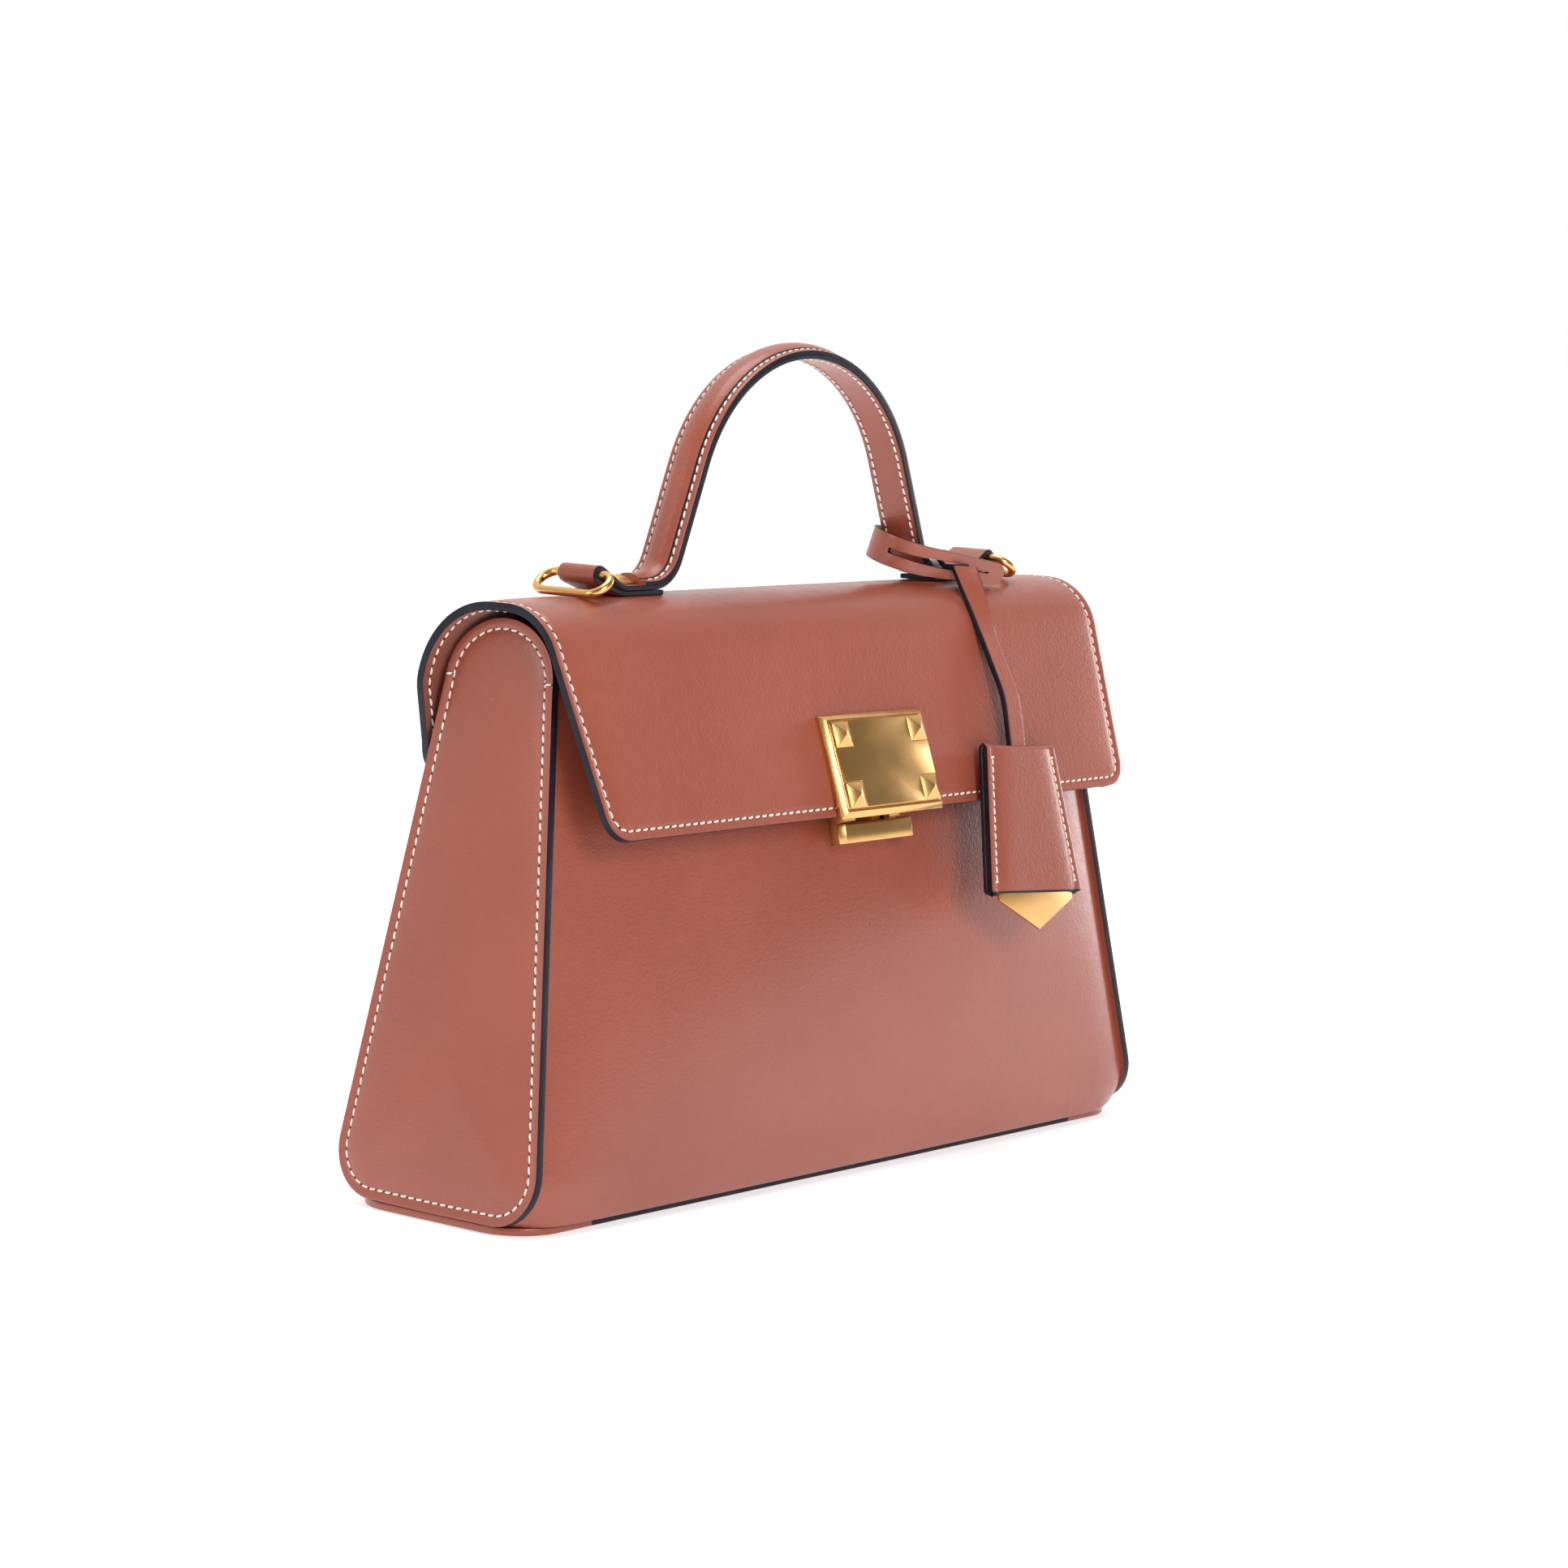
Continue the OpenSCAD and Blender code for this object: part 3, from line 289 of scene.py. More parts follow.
def done(obj, body, slot, *nodes, angle=40):
    """Smooth shading, the body it rides on and the nodes it stands for; slot is not used."""
    only(obj)
    bpy.ops.object.shade_smooth_by_angle(angle=math.radians(angle))
    if body:
        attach(obj, body)
    if nodes:
        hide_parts(*nodes)
    print(f"{obj.name}: {len(obj.data.polygons)} faces")

# %% [markdown]
# Stitches repeat hundreds of times, so one is modelled and copied along the seam. A sewn stitch
# is a short fat capsule, a little slanted, that dives into its needle hole at both ends. The unit
# is a small sphere stretched along X with its ends bent down. Each copy is turned to the seam's
# own direction and to the leather's outward normal, and at each hole one dark dimple is painted
# shade, standing for the shadow inside the hole.

# %% One stitch and one needle hole with painted shade
def unit(name, size, mat, sink):
    clear()
    bpy.ops.mesh.primitive_uv_sphere_add(segments=7, ring_count=5, radius=0.5, rotation=(0, math.pi / 2, 0))
    bpy.ops.object.transform_apply(location=False, rotation=True, scale=False)
    obj = bpy.context.object
    co = np.array([v.co for v in obj.data.vertices]) * size
    co[:, 2] -= sink * (co[:, 0] / size[0] * 2) ** 2
    faces = [list(p.vertices) for p in obj.data.polygons]
    bpy.data.objects.remove(obj)
    return name, co, faces, mat

STITCH = unit("stitch", np.array([2.65, 0.78, 0.62]), thread, 0.22)
# The hole unit is a thin dark lens on the surface; its colour is painted shade for the inside of a needle
# hole.
HOLE_SHADE = unit("hole_shade", np.array([0.85, 0.72, 0.24]), hole_shade, 0.0)
SLANT, HOLE_UP = 0.12, 0.02

def copies(part, places, ways, normals, lift, slant):
    """Many copies of a unit as one mesh: places in mm, x along ways, z along normals."""
    _, co, faces, _ = part
    z = normed(normals)
    x = normed(ways - (ways * z).sum(1)[:, None] * z)
    y = np.cross(z, x)
    x, y = x * math.cos(slant) + y * math.sin(slant), y * math.cos(slant) - x * math.sin(slant)
    pts = (places + lift * z)[:, None]
    for k, axis in enumerate((x, y, z)):
        pts = pts + co[None, :, k, None] * axis[:, None]
    faces = [[i + k * len(co) for i in f] for k in range(len(places)) for f in faces]
    return pts.reshape(-1, 3) / 1000, faces

def seam(name, body, rows, pitch=3.15, lift=0.14):
    """Sews rows of (path, normals) in mm: one thread mesh and one mesh of dark lenses, the painted shade of
    the needle holes.
    """
    for part, turn_by, up_by in ((STITCH, SLANT, lift), (HOLE_SHADE, 0, HOLE_UP)):
        pts, faces, count = [], [], 0
        for path, out in rows:
            path, out = np.asarray(path, float), np.broadcast_to(np.asarray(out, float), np.shape(path))
            length = run(path)
            where = np.linspace(0, length[-1], max(1, round(length[-1] / pitch)) + 1)
            if part is STITCH:
                where = (where[:-1] + where[1:]) / 2
            ways = trace(path, length, where + 0.3) - trace(path, length, where - 0.3)
            p, f = copies(part, trace(path, length, where), ways, trace(out, length, where), up_by, turn_by)
            faces += [[i + count for i in g] for g in f]
            pts.append(p)
            count += len(p)
        mesh = bpy.data.meshes.new(f"{name}_{part[0]}")
        mesh.from_pydata(np.concatenate(pts).tolist(), [], faces)
        mesh.materials.append(part[3])
        obj = add(mesh.name, mesh)
        mesh.polygons.foreach_set("use_smooth", [True] * len(mesh.polygons))
        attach(obj, body)
        print(f"{mesh.name}: {count // len(part[1])} copies")

# %% [markdown]
# The body is a trapezium of soft panels between two firm gussets. Its sizes repeat the frame's
# own: the base is 300 mm wide and 83 mm deep, the mouth 253 by 42 mm at a height of 155 mm. The
# front and back bulge like a loaf and turn in where they meet the gussets, so each panel is a
# lofted sheet and not a flat plate.

# %% Shape of the body
BASE_W, MOUTH_W, BASE_D, MOUTH_D, MOUTH_Z, SEAM_Z = 300, 253, 83.4, 42.2, 155, 125.6
PANEL_T, GUSSET_T, LINING_T, BASE_T = 2.2, 2.8, 0.9, 2.6
SWELL_Z, ROLL_Z, ROLL_IN, CORNER_R, EAR_RISE = 75, 16, 4.5, 15, 19
LEAN, SIDES = math.atan((BASE_W - MOUTH_W) / 2 / MOUTH_Z), ((1, "right"), (-1, "left"))

def half_w(z):
    return BASE_W / 2 - (BASE_W - MOUTH_W) / 2 * z / MOUTH_Z

def half_d(z):
    return BASE_D / 2 - (BASE_D - MOUTH_D) / 2 * z / MOUTH_Z

def swell(z, mid, top, zt):
    """How far a wall bulges: mid at SWELL_Z, less below, and down to top at the height zt."""
    low = mid * np.sin(np.radians(90 * z / SWELL_Z))
    high = top + (mid - top) * (1 + np.cos(np.pi * (z - SWELL_Z) / (zt - SWELL_Z))) / 2
    return np.where(z < SWELL_Z, low, np.where(z > zt, top, high))

def wall_place(side, mid, top, zt, inward, ripple, z0=BASE_T, z1=MOUTH_Z, span=None):
    """Lays a sheet inward mm inside a wall, from z0 to z1; span: half its width, if it's a narrow one."""
    def place(a, b):
        z = z0 + (z1 - z0) * (0.5 * b + 0.5 * b ** 1.6)
        u = (2 * a - 1) * span / (half_w(z) - 3) if span else np.sin(np.pi / 2 * (2 * a - 1))
        roll = np.where(z < ROLL_Z, ROLL_IN * (1 - z / ROLL_Z) ** 2, 0)
        corner = CORNER_R - np.sqrt(CORNER_R ** 2 - np.clip(CORNER_R - (z - BASE_T), 0, CORNER_R) ** 2)
        e = np.abs(u)
        roll = roll + (np.maximum(corner, roll) - roll) * e ** 30
        y = half_d(z) - 1.8 * e ** 18 - roll + swell(z, mid, top, zt) * (1 - e ** 2.4) - inward
        x = u * (half_w(z) - GUSSET_T / math.cos(LEAN))
        y = y + ripple * slow(x, z, 0.013, 0.017, side * 3.1) * (1 - e ** 6) * np.clip(z / 30, 0, 1)
        return cols(x, side * y, z)
    return place

FRONT, BACK = (9, 4.2, MOUTH_Z), (6, 1.4, SEAM_Z)
print("body leans", round(math.degrees(LEAN), 2), "degrees at each side")

# %% [markdown]
# A panel is one grid laid on that shape. The columns stand closer together near the gussets,
# where the leather turns in. A very slow ripple of half a millimetre keeps the highlight from
# running as straight as on sheet metal, which is how the broad reflections on real hide behave.

# %% Panels, linings and the slip pocket
def panel(name, body_node, side, shape, inward, t, mats, slot, ripple, **part):
    obj = lay(name, 56, 44, wall_place(side, *shape, inward, ripple, **part), mats)
    thicken(obj, Vector((0, side, 0)), t, 0.3)
    done(obj, "bag", slot, body_node)

walls = ((-1, "front", FRONT, 0.9), (1, "back", BACK, 0.7))
for side, name, shape, ripple in walls:
    panel(f"{name}_skin", f"{name}_panel", side, shape, 0, PANEL_T, TAN, "tan_leather", ripple)
for side, name, shape, ripple in walls:
    panel(f"{name}_inside", f"{name}_lining", side, shape, PANEL_T + 0.1, LINING_T, [hide, hide],
          "lining_leather", ripple)
panel("inside_pocket", "slip_pocket", 1, BACK, PANEL_T + LINING_T + 0.2, LINING_T, [hide, paint],
      "lining_leather", 0.7, z0=42, z1=120, span=75)

# %% [markdown]
# A gusset, the base and their linings are flat leaves with a rounded outline. A leaf is laid in
# rings: the outer rings run parallel to the edge, so the pressed line of the stitches can follow
# it, and the inner ones close on a straight line in the middle. Height is a rule of the distance
# from the edge: level at the rim, a small groove at the stitches, then a gentle crown.

# %% Leaves with a stitched rim
def arc(cx, cy, rx, a0, a1, n, ry=None):
    a = np.radians(np.linspace(a0, a1, n))
    return np.stack([cx + rx * np.cos(a), cy + (ry or rx) * np.sin(a)], 1)

def even(outline, n):
    """n points at even steps round a closed outline, starting at its first point."""
    ring = np.concatenate([outline, outline[:1]])
    length = run(ring)
    return trace(ring, length, np.linspace(0, length[-1], n + 1)[:-1])

def inwards(ring):
    """Unit vectors into a closed ring that runs anticlockwise."""
    return left(np.roll(ring, -1, 0) - np.roll(ring, 1, 0))

RINGS, MIDDLE_RINGS = np.array([0, 0.6, 1.3, 2.0, 2.6, 3.1, 3.6, 4.4, 5.6, 7.6, 10.5]), 9

def leaf(name, ring, centre, lift, to_space, mats, reach=10.5):
    """ring: outline in mm, anticlockwise; centre(ring) -> points on the middle line; lift(distance);
    reach: how far in the rings stay parallel, less than the tightest corner."""
    steps = RINGS[RINGS <= reach]
    inner, into, last = centre(ring), inwards(ring), len(steps) - 1
    base = ring + into * steps[-1]
    gap = np.linalg.norm(inner - base, axis=1)

    def place(a, b):
        i, row = index(a, len(ring)) % len(ring), index(b, last + MIDDLE_RINGS)
        near = row <= last
        d = steps[np.minimum(row, last)]
        f = np.clip((row - last) / MIDDLE_RINGS, 0, 1)[:, None]
        flat = np.where(near[:, None], ring[i] + into[i] * d[:, None], base[i] * (1 - f) + inner[i] * f)
        return to_space(flat, lift(d + np.where(near, 0, f[:, 0] * gap[i])))
    obj = lay(name, len(ring), last + MIDDLE_RINGS, place, mats)
    weld(obj)
    return obj

def gusset_ring(in_by, foot, ear, n):
    """Outline of a gusset's leaf, in_by mm inside its edge, from the height foot to its round ear."""
    k, r = 1 / math.cos(LEAN), CORNER_R - in_by
    side = math.degrees(math.atan((BASE_D - MOUTH_D) / 2 / MOUTH_Z))
    fy = half_d(foot + r) - in_by - r / math.cos(math.radians(side))
    e = half_d(MOUTH_Z) - in_by
    right_half = np.concatenate([[[0, foot * k]], arc(fy, (foot + r) * k, r, 270, 360 + side, 24),
                                 arc(0, MOUTH_Z * k, e, 0, 90, 40, ear * k)])
    return even(np.concatenate([right_half, (right_half[-2:0:-1] * [-1, 1])]), n)

def middle_upright(low, high):
    return lambda ring: cols(0, np.clip(ring[:, 1], low, high))

def gusset_space(side, inward):
    def to_space(flat, up_by):
        x = up_by - inward
        s = flat[:, 1]
        return cols(side * (BASE_W / 2 + x * math.cos(LEAN) - s * math.sin(LEAN)), flat[:, 0],
                    x * math.sin(LEAN) + s * math.cos(LEAN))
    return to_space

SIDE_SEAM = 3.1

def pressed(d):
    return np.interp(d, [0, 1.6, SIDE_SEAM, 4.6, 9, 20, 36], [0.0, 0.02, -0.42, 0.05, 0.6, 1.1, 1.4])

for side, name in SIDES:
    out = Vector((side, 0, 0.15))
    gusset = leaf(f"{name}_side", gusset_ring(0, BASE_T, EAR_RISE, 176), middle_upright(44, 152), pressed,
                  gusset_space(side, 0), TAN)
    thicken(gusset, out, GUSSET_T, 0.45)
    done(gusset, "bag", "tan_leather", f"{name}_gusset")
    inside = leaf(f"{name}_side_inside", gusset_ring(9.4, 6.4, 18.1, 120), middle_upright(44, 150),
                  lambda d: d * 0, gusset_space(side, GUSSET_T), [hide, hide], reach=3)
    thicken(inside, out, LINING_T, 0.2)
    done(inside, "bag", "lining_leather", f"{name}_gusset_lining")

# %% [markdown]
# Each gusset is sewn all round through the turned edges of the panels. The row of stitches sits
# 3.1 mm inside the edge, at eight stitches to the inch. Level with the mouth a short tack crosses
# the margin on each side, where the strain of the opening bag would start to tear the seam.

# %% Gusset seams and bar tacks
def inset(ring, by):
    """The closed line that runs by mm inside a ring."""
    ring = ring + inwards(ring) * by
    return np.concatenate([ring, ring[:1]])

flat, tack_s = inset(gusset_ring(0, BASE_T, EAR_RISE, 500), SIDE_SEAM), 158
for side, name in SIDES:
    out = [side * math.cos(LEAN), 0, math.sin(LEAN)]
    rows = [(gusset_space(side, 0)(flat, pressed(np.full(len(flat), SIDE_SEAM))), out)]
    for y_sign in (-1, 1):
        near = np.argmin(np.abs(flat[:, 1] - tack_s) + 1000 * (flat[:, 0] * y_sign < 0))
        ends = flat[near] + np.array([[y_sign * 0.2, 0.0], [y_sign * 2.9, 0.0]])
        rows.append((gusset_space(side, 0)(ends, np.array([0.1, 0.1])), out))
    seam(f"{name}_side_seam", "bag", rows)

# %% [markdown]
# The base is a firm leather plate whose painted edge shows under the panels. Its row of stitches
# runs on the underside and comes up at the four corners, where the panels leave the plate bare.

# %% Base plate, base board and base lining
PLATE, UP = (298.4, 71, 16), Vector((0, 0, 1))

def plate_ring(w, d, r, n):
    x, y = w / 2 - r, d / 2 - r
    corner = np.concatenate([arc(x, -y, r, 270, 360, 14), arc(x, y, r, 0, 90, 14)])
    return even(np.concatenate([[[0, -d / 2]], corner, -corner]), n)

def middle_level(reach):
    return lambda ring: cols(np.clip(ring[:, 0], -reach, reach), 0)

def level_space(z):
    return lambda flat, up_by: cols(*flat.T, z + up_by + 0.12 * slow(*flat.T, 0.02, 0.02, 7.7))

base = leaf("base_leather", plate_ring(*PLATE, 240), middle_level(110),
            lambda d: np.interp(d, [0, 2.4, 3.6, 5, 9], [0, 0, -0.25, -0.1, 0]),
            level_space(BASE_T - 0.15), TAN)
thicken(base, UP, BASE_T - 0.3, 0.5)
for p in base.data.polygons:
    if p.material_index == 1 and abs(p.center.x) > 0.118:
        p.material_index = 0
done(base, "bag", "tan_leather", "base_plate")

board_z = BASE_T + 1.8
for name, cad, lift, z, t, mat, slot in (
        ("base_stiffener", "base_board", lambda d: d * 0, board_z, 1.7, board, "filler_board"),
        ("base_inside", "base_lining", lambda d: np.interp(d, [0, 2, 12], [-0.1, 0, 0]), board_z + LINING_T,
         LINING_T - 0.1, hide, "lining_leather")):
    layer = leaf(name, plate_ring(259.5, 66.2, 2.5, 180), middle_level(100), lift, level_space(z),
                 [mat, mat], reach=1)
    thicken(layer, UP, t, 0.2)
    done(layer, "bag", slot, cad)

ring = inset(plate_ring(*PLATE, 600), 2.4)
rows = [(cols(*ring.T, 0.12), [0, 0, -1])]
for sx in (-1, 1):
    for sy in (-1, 1):
        near = (ring[:, 0] * sx > 128) & (ring[:, 1] * sy > 14)
        top = cols(*ring[near].T, BASE_T - 0.35)
        rows.append((top[np.argsort(np.arctan2(top[:, 1] * sy - 20, top[:, 0] * sx - 130))], UP))
seam("base_seam", "bag", rows, lift=0.0)

# %% [markdown]
# The flap is one stiff leaf that comes up the back, over the top and down the front. On the real
# bag it is leather outside, a board in the middle and lining inside, glued and painted at the edge
# as one, so one closed solid stands for all of them. It is laid along its own profile line: the
# first share runs across, the second from the front edge to the seam at the back.

# %% Profile of the flap
FLAP_TOP, FLAP_T, FLAP_W, FLAP_FOOT_W, FLAP_FRONT_Z, FLAP_R = 179.6, 3.0, 264.8, 255.2, 114, 9
FRONT_C, FRONT_R, FRONT_LEAN = np.array([-8.4, 158.6]), 21, 20
BACK_C, BACK_R, BACK_LEAN = np.array([-1.5, 150.6]), 29, 5
FRONT_OUT = np.array([-math.cos(math.radians(FRONT_LEAN)), math.sin(math.radians(FRONT_LEAN))])
BACK_OUT = np.array([math.cos(math.radians(BACK_LEAN)), math.sin(math.radians(BACK_LEAN))])
f_top, b_top = FRONT_C + FRONT_R * FRONT_OUT, BACK_C + BACK_R * BACK_OUT
FRONT_RUN = (f_top[1] - FLAP_FRONT_Z) / math.cos(math.radians(FRONT_LEAN))
BACK_RUN = (b_top[1] - SEAM_Z) / math.cos(math.radians(BACK_LEAN))
PROFILE = np.concatenate([
    np.linspace(f_top + FRONT_RUN * np.array([-FRONT_OUT[1], FRONT_OUT[0]]), f_top, 60)[:-1],
    arc(*FRONT_C, FRONT_R, 180 - FRONT_LEAN, 90, 60)[:-1],
    np.linspace(FRONT_C + [0, FRONT_R], BACK_C + [0, BACK_R], 12)[:-1],
    arc(*BACK_C, BACK_R, 90, BACK_LEAN, 80)[:-1],
    np.linspace(b_top, b_top + BACK_RUN * np.array([BACK_OUT[1], -BACK_OUT[0]]), 40)])
profile_mm = run(PROFILE)
FLAP_L = profile_mm[-1]
print("flap leaf", round(FLAP_L, 1), "mm long,", FLAP_W, "mm wide")

def flap_half(s):
    near = np.minimum(s, FLAP_L - s)
    straight = np.where(s < FLAP_L / 2, FRONT_RUN, BACK_RUN) - FLAP_R
    taper = FLAP_FOOT_W / 2 + (FLAP_W - FLAP_FOOT_W) / 2 * np.clip((near - FLAP_R) / straight, 0, 1)
    return taper - (FLAP_R - np.sqrt(FLAP_R ** 2 - np.clip(FLAP_R - near, 0, FLAP_R) ** 2))

def quilt(d):
    """How far the flap's face lies below its crown, at d mm from the edge."""
    return np.interp(d, [0, 1.4, 2.8, 4.4, 9, 22], [-0.45, -0.40, -0.85, -0.38, -0.12, 0.0])

def flap_at(x, s, lining=False):
    """Points and outward normals x mm across the flap and s mm along it, on either of its faces."""
    y, z = trace(PROFILE, profile_mm, s).T
    ny, nz = left(trace(PROFILE, profile_mm, s + 0.5) - trace(PROFILE, profile_mm, s - 0.5)).T
    side, near, reach = flap_half(s) - np.abs(x), np.minimum(s, FLAP_L - s), 14
    d = np.clip(np.minimum(side, near), 0, None)
    round_d = reach - np.sqrt(np.clip(reach - side, 0, None) ** 2 + np.clip(reach - near, 0, None) ** 2)
    round_d = np.clip(np.minimum(d, round_d + 3.5), 0, None)
    d = np.where((side < reach) & (near < reach), round_d, d)
    fade = np.clip((side - 6) / 20, 0, 1) * np.clip((near - 6) / 20, 0, 1)
    up_by = np.minimum(quilt(d) + 0.35 * slow(x, s, 0.011, 0.02, 4.4) * fade, 0.05)
    if lining:
        up_by = 0.05 - FLAP_T
    return cols(x, y + ny * up_by, z + nz * up_by), cols(0, ny, nz)

# %% [markdown]
# Rows stand close together near both ends and columns near both sides, so that the rounded
# corners and the pressed line of the stitches stay crisp. Solidify then gives the three glued
# layers as one wall: tan outside, lining inside, blue-black paint on the rim.

# %% Flap
END = np.array([0, 0.12, 0.5, 1.1, 1.7, 2.3, 2.8, 3.3, 4.0, 5.0, 7.2, 10.5])
flap_rows = np.concatenate([END, np.linspace(13.5, FLAP_L - 13.5, 52), (FLAP_L - END)[::-1]])
SIDE = np.array([0, 0.8, 1.5, 2.2, 2.8, 3.4, 4.2, 5.4, 8, 13]) / (FLAP_W / 2)
flap_cols = np.concatenate([-1 + SIDE, np.linspace(-0.84, 0.84, 46), (1 - SIDE)[::-1]])

def flap_place(a, b):
    s = flap_rows[index(b, len(flap_rows) - 1)]
    return flap_at(flap_cols[index(a, len(flap_cols) - 1)] * flap_half(s), s)[0]

flap = lay("flap_leaf", len(flap_cols) - 1, len(flap_rows) - 1, flap_place, [leather, hide, paint])
thicken(flap, lambda p: Vector((0, p.y, p.z - 0.12)), FLAP_T - 0.1, 0.5, inner=1, rim=2)

# %% [markdown]
# Solidify repeats the pressed seams on the inside, but a lining lies flat against its board. So
# each vertex that was pushed in too deep comes back out to the lining's own depth, straight
# towards the profile line. The flap itself is left in place and is not attached to a body.

# %% Flat lining of the flap
co = np.array([v.co for v in flap.data.vertices]) * 1000
line, lining_depth = trace(PROFILE, profile_mm, np.linspace(0, FLAP_L, 900)), FLAP_T - 0.05
gap = co[:, None, 1:] - line[None]
near = (gap ** 2).sum(2).argmin(1)
off = gap[np.arange(len(co)), near]
depth = np.linalg.norm(off, axis=1)
inner = (depth > lining_depth) & (near > 0) & (near < len(line) - 1)
co[inner, 1:] -= off[inner] * (1 - lining_depth / depth[inner])[:, None]
flap.data.vertices.foreach_set("co", (co / 1000).ravel())
flap.data.update()
print("lining vertices laid flat:", inner.sum())
done(flap, None, "tan_leather", "flap_leather", "flap_board", "flap_lining", "flap_seam")
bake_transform(flap)

# %% [markdown]
# The flap is sewn all round, 2.8 mm from its edge, and the same holes, their shade painted dark,
# show on the lining. The last row, along the back seam, belongs to the body and does not lift with
# the flap.

# %% Flap seams
def flap_path(d):
    """Right half of the seam line, (across, along), from the middle of the front to the back corner."""
    r, cx, side = FLAP_R - d, FLAP_FOOT_W / 2 - FLAP_R, np.linspace(FLAP_R, FLAP_L - FLAP_R, 260)
    a = np.radians(np.linspace(0, 90, 12))
    return np.concatenate([
        cols(np.linspace(0, cx, 60)[:-1], d), cols(cx + r * np.sin(a), FLAP_R - r * np.cos(a)),
        cols(flap_half(side) - d, side)[1:-1], cols(cx + r * np.cos(a), FLAP_L - FLAP_R + r * np.sin(a))])

flap_in = 2.8
path = flap_path(flap_in)
lifting = path[path[:, 1] < FLAP_L - 11.5]
for name, lining in (("flap_seam_outside", False), ("flap_seam_inside", True)):
    pts, out = flap_at(*lifting.T, lining)
    seam(name, "flap", [(pts * [m, 1, 1], -out if lining else out) for m in (1, -1)])
corner = path[path[:, 1] > FLAP_L - FLAP_R - 0.1]
cross = cols(np.linspace(-corner[-1, 0], corner[-1, 0], 200), FLAP_L - flap_in)
whole_back = np.concatenate([corner * [-1, 1], cross[1:-1], corner[::-1]])
seam("back_seam", "bag", [flap_at(*whole_back.T)])

# %% [markdown]
# Metal keeps the frame's own shape, because that shape is already right: what it lacks is the
# small rounding that catches light along every edge. A copy of each node is welded, its flat
# facets are merged, and a narrow bevel is added. The node itself is never touched.

# %% Metal with rounded edges
def refine(cad, body, name, mat, slot, width, turn_at=24, step=None):
    """A copy of a node with merged facets and rounded edges, after an optional step of its own."""
    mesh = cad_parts[cad].data.copy()
    obj, mesh.name = add(name, mesh), name
    edit(obj, (bpy.ops.mesh.customdata_custom_splitnormals_clear, {}),
         (bpy.ops.mesh.remove_doubles, dict(threshold=1e-5)),
         (bpy.ops.mesh.dissolve_limited, dict(angle_limit=math.radians(1))))
    mesh.materials.clear()
    mesh.materials.append(mat)
    mesh.polygons.foreach_set("material_index", [0] * len(mesh.polygons))
    if step:
        step(obj)
    bevel(obj, width, turn_at)
    done(obj, body, slot, cad, angle=35)

def pick(obj, rule):
    """Leaves only the faces selected that rule(face) accepts, in edit mode."""
    only(obj)
    bpy.ops.object.mode_set(mode="EDIT")
    bpy.ops.mesh.select_mode(type="FACE")
    bpy.ops.mesh.select_all(action="DESELECT")
    bpy.ops.object.mode_set(mode="OBJECT")
    for p in obj.data.polygons:
        p.select = bool(rule(p))
    bpy.ops.object.mode_set(mode="EDIT")

def ridged(obj):
    """Three insets, one lower and one raised again, leave a double ridge round the frame's face."""
    out = Vector((0, *FRONT_OUT))
    pick(obj, lambda p: p.normal.dot(out) > 0.99 and p.area > 8e-4)
    for thickness, depth in ((0.0006, 0), (0.00035, -0.00035), (0.00035, 0.00035)):
        bpy.ops.mesh.inset(thickness=thickness, depth=depth)
    bpy.ops.object.mode_set(mode="OBJECT")

GOLD, STEEL = (brass, "gold_metal"), (steel, "steel")
for cad, body, name, metal, *edges in (
        ("lock_frame", "flap", "plate_frame", GOLD, 0.22, 24, ridged),
        ("lock_cover", "flap", "plate_cover", GOLD, 0.2),
        ("lock_studs", "flap", "plate_pyramids", GOLD, 0.16, 20),
        ("lock_foot_plate", "flap", "plate_foot", GOLD, 0.2),
        ("lock_screws", "flap", "plate_screws", STEEL, 0.15),
        ("lock_tab", "lock_tab", "press_tab", GOLD, 0.3),
        ("lock_case", "bag", "lock_housing", GOLD, 0.25),
        ("lock_spring", "bag", "lock_leaf_spring", STEEL, 0.08),
        ("lock_clamp", "bag", "lock_backing", STEEL, 0.2),
        ("case_screws", "bag", "housing_screws", STEEL, 0.15),
        ("handle_studs", "flap", "handle_pyramids", GOLD, 0.16, 20),
        ("handle_washers", "flap", "handle_rings", STEEL, 0.1),
        ("key_plate", "charm", "key_blade", GOLD, 0.25),
        ("key_rivet", "charm", "blade_rivet", GOLD, 0.15)):
    refine(cad, body, name, *metal, *edges)

# %% [markdown]
# Straps are lofted: a small closed section is carried along a smooth path, and the ends are
# filled. One grid does it again, with one share round the section and one along the path. The
# painted edges are the faces that look sideways, so the paint follows every bend by itself.

# %% Straps along a path
def smooth(path, n, passes=0):
    length = run(path)
    pts = trace(path, length, np.linspace(0, length[-1], n))
    for _ in range(passes):
        pts[1:-1] = (pts[:-2] + 2 * pts[1:-1] + pts[2:]) / 4
    return pts

def outward(path):
    """Unit normals of a path in a plane, to the left of its direction."""
    return left(np.gradient(path, axis=0))

def strip_section(w, t, r):
    """Closed outline of a strap cut across, anticlockwise and centred, corners rounded by r."""
    x, y = w / 2 - r, t / 2 - r
    lower = np.linspace(-x, x, 9)[1:-1]
    return np.concatenate([arc(x, -y, r, -90, 0, 4), arc(x, y, r, 0, 90, 4), cols(lower[::-1], t / 2),
                           arc(-x, y, r, 90, 180, 4), arc(-x, -y, r, 180, 270, 4), cols(lower, -t / 2)])

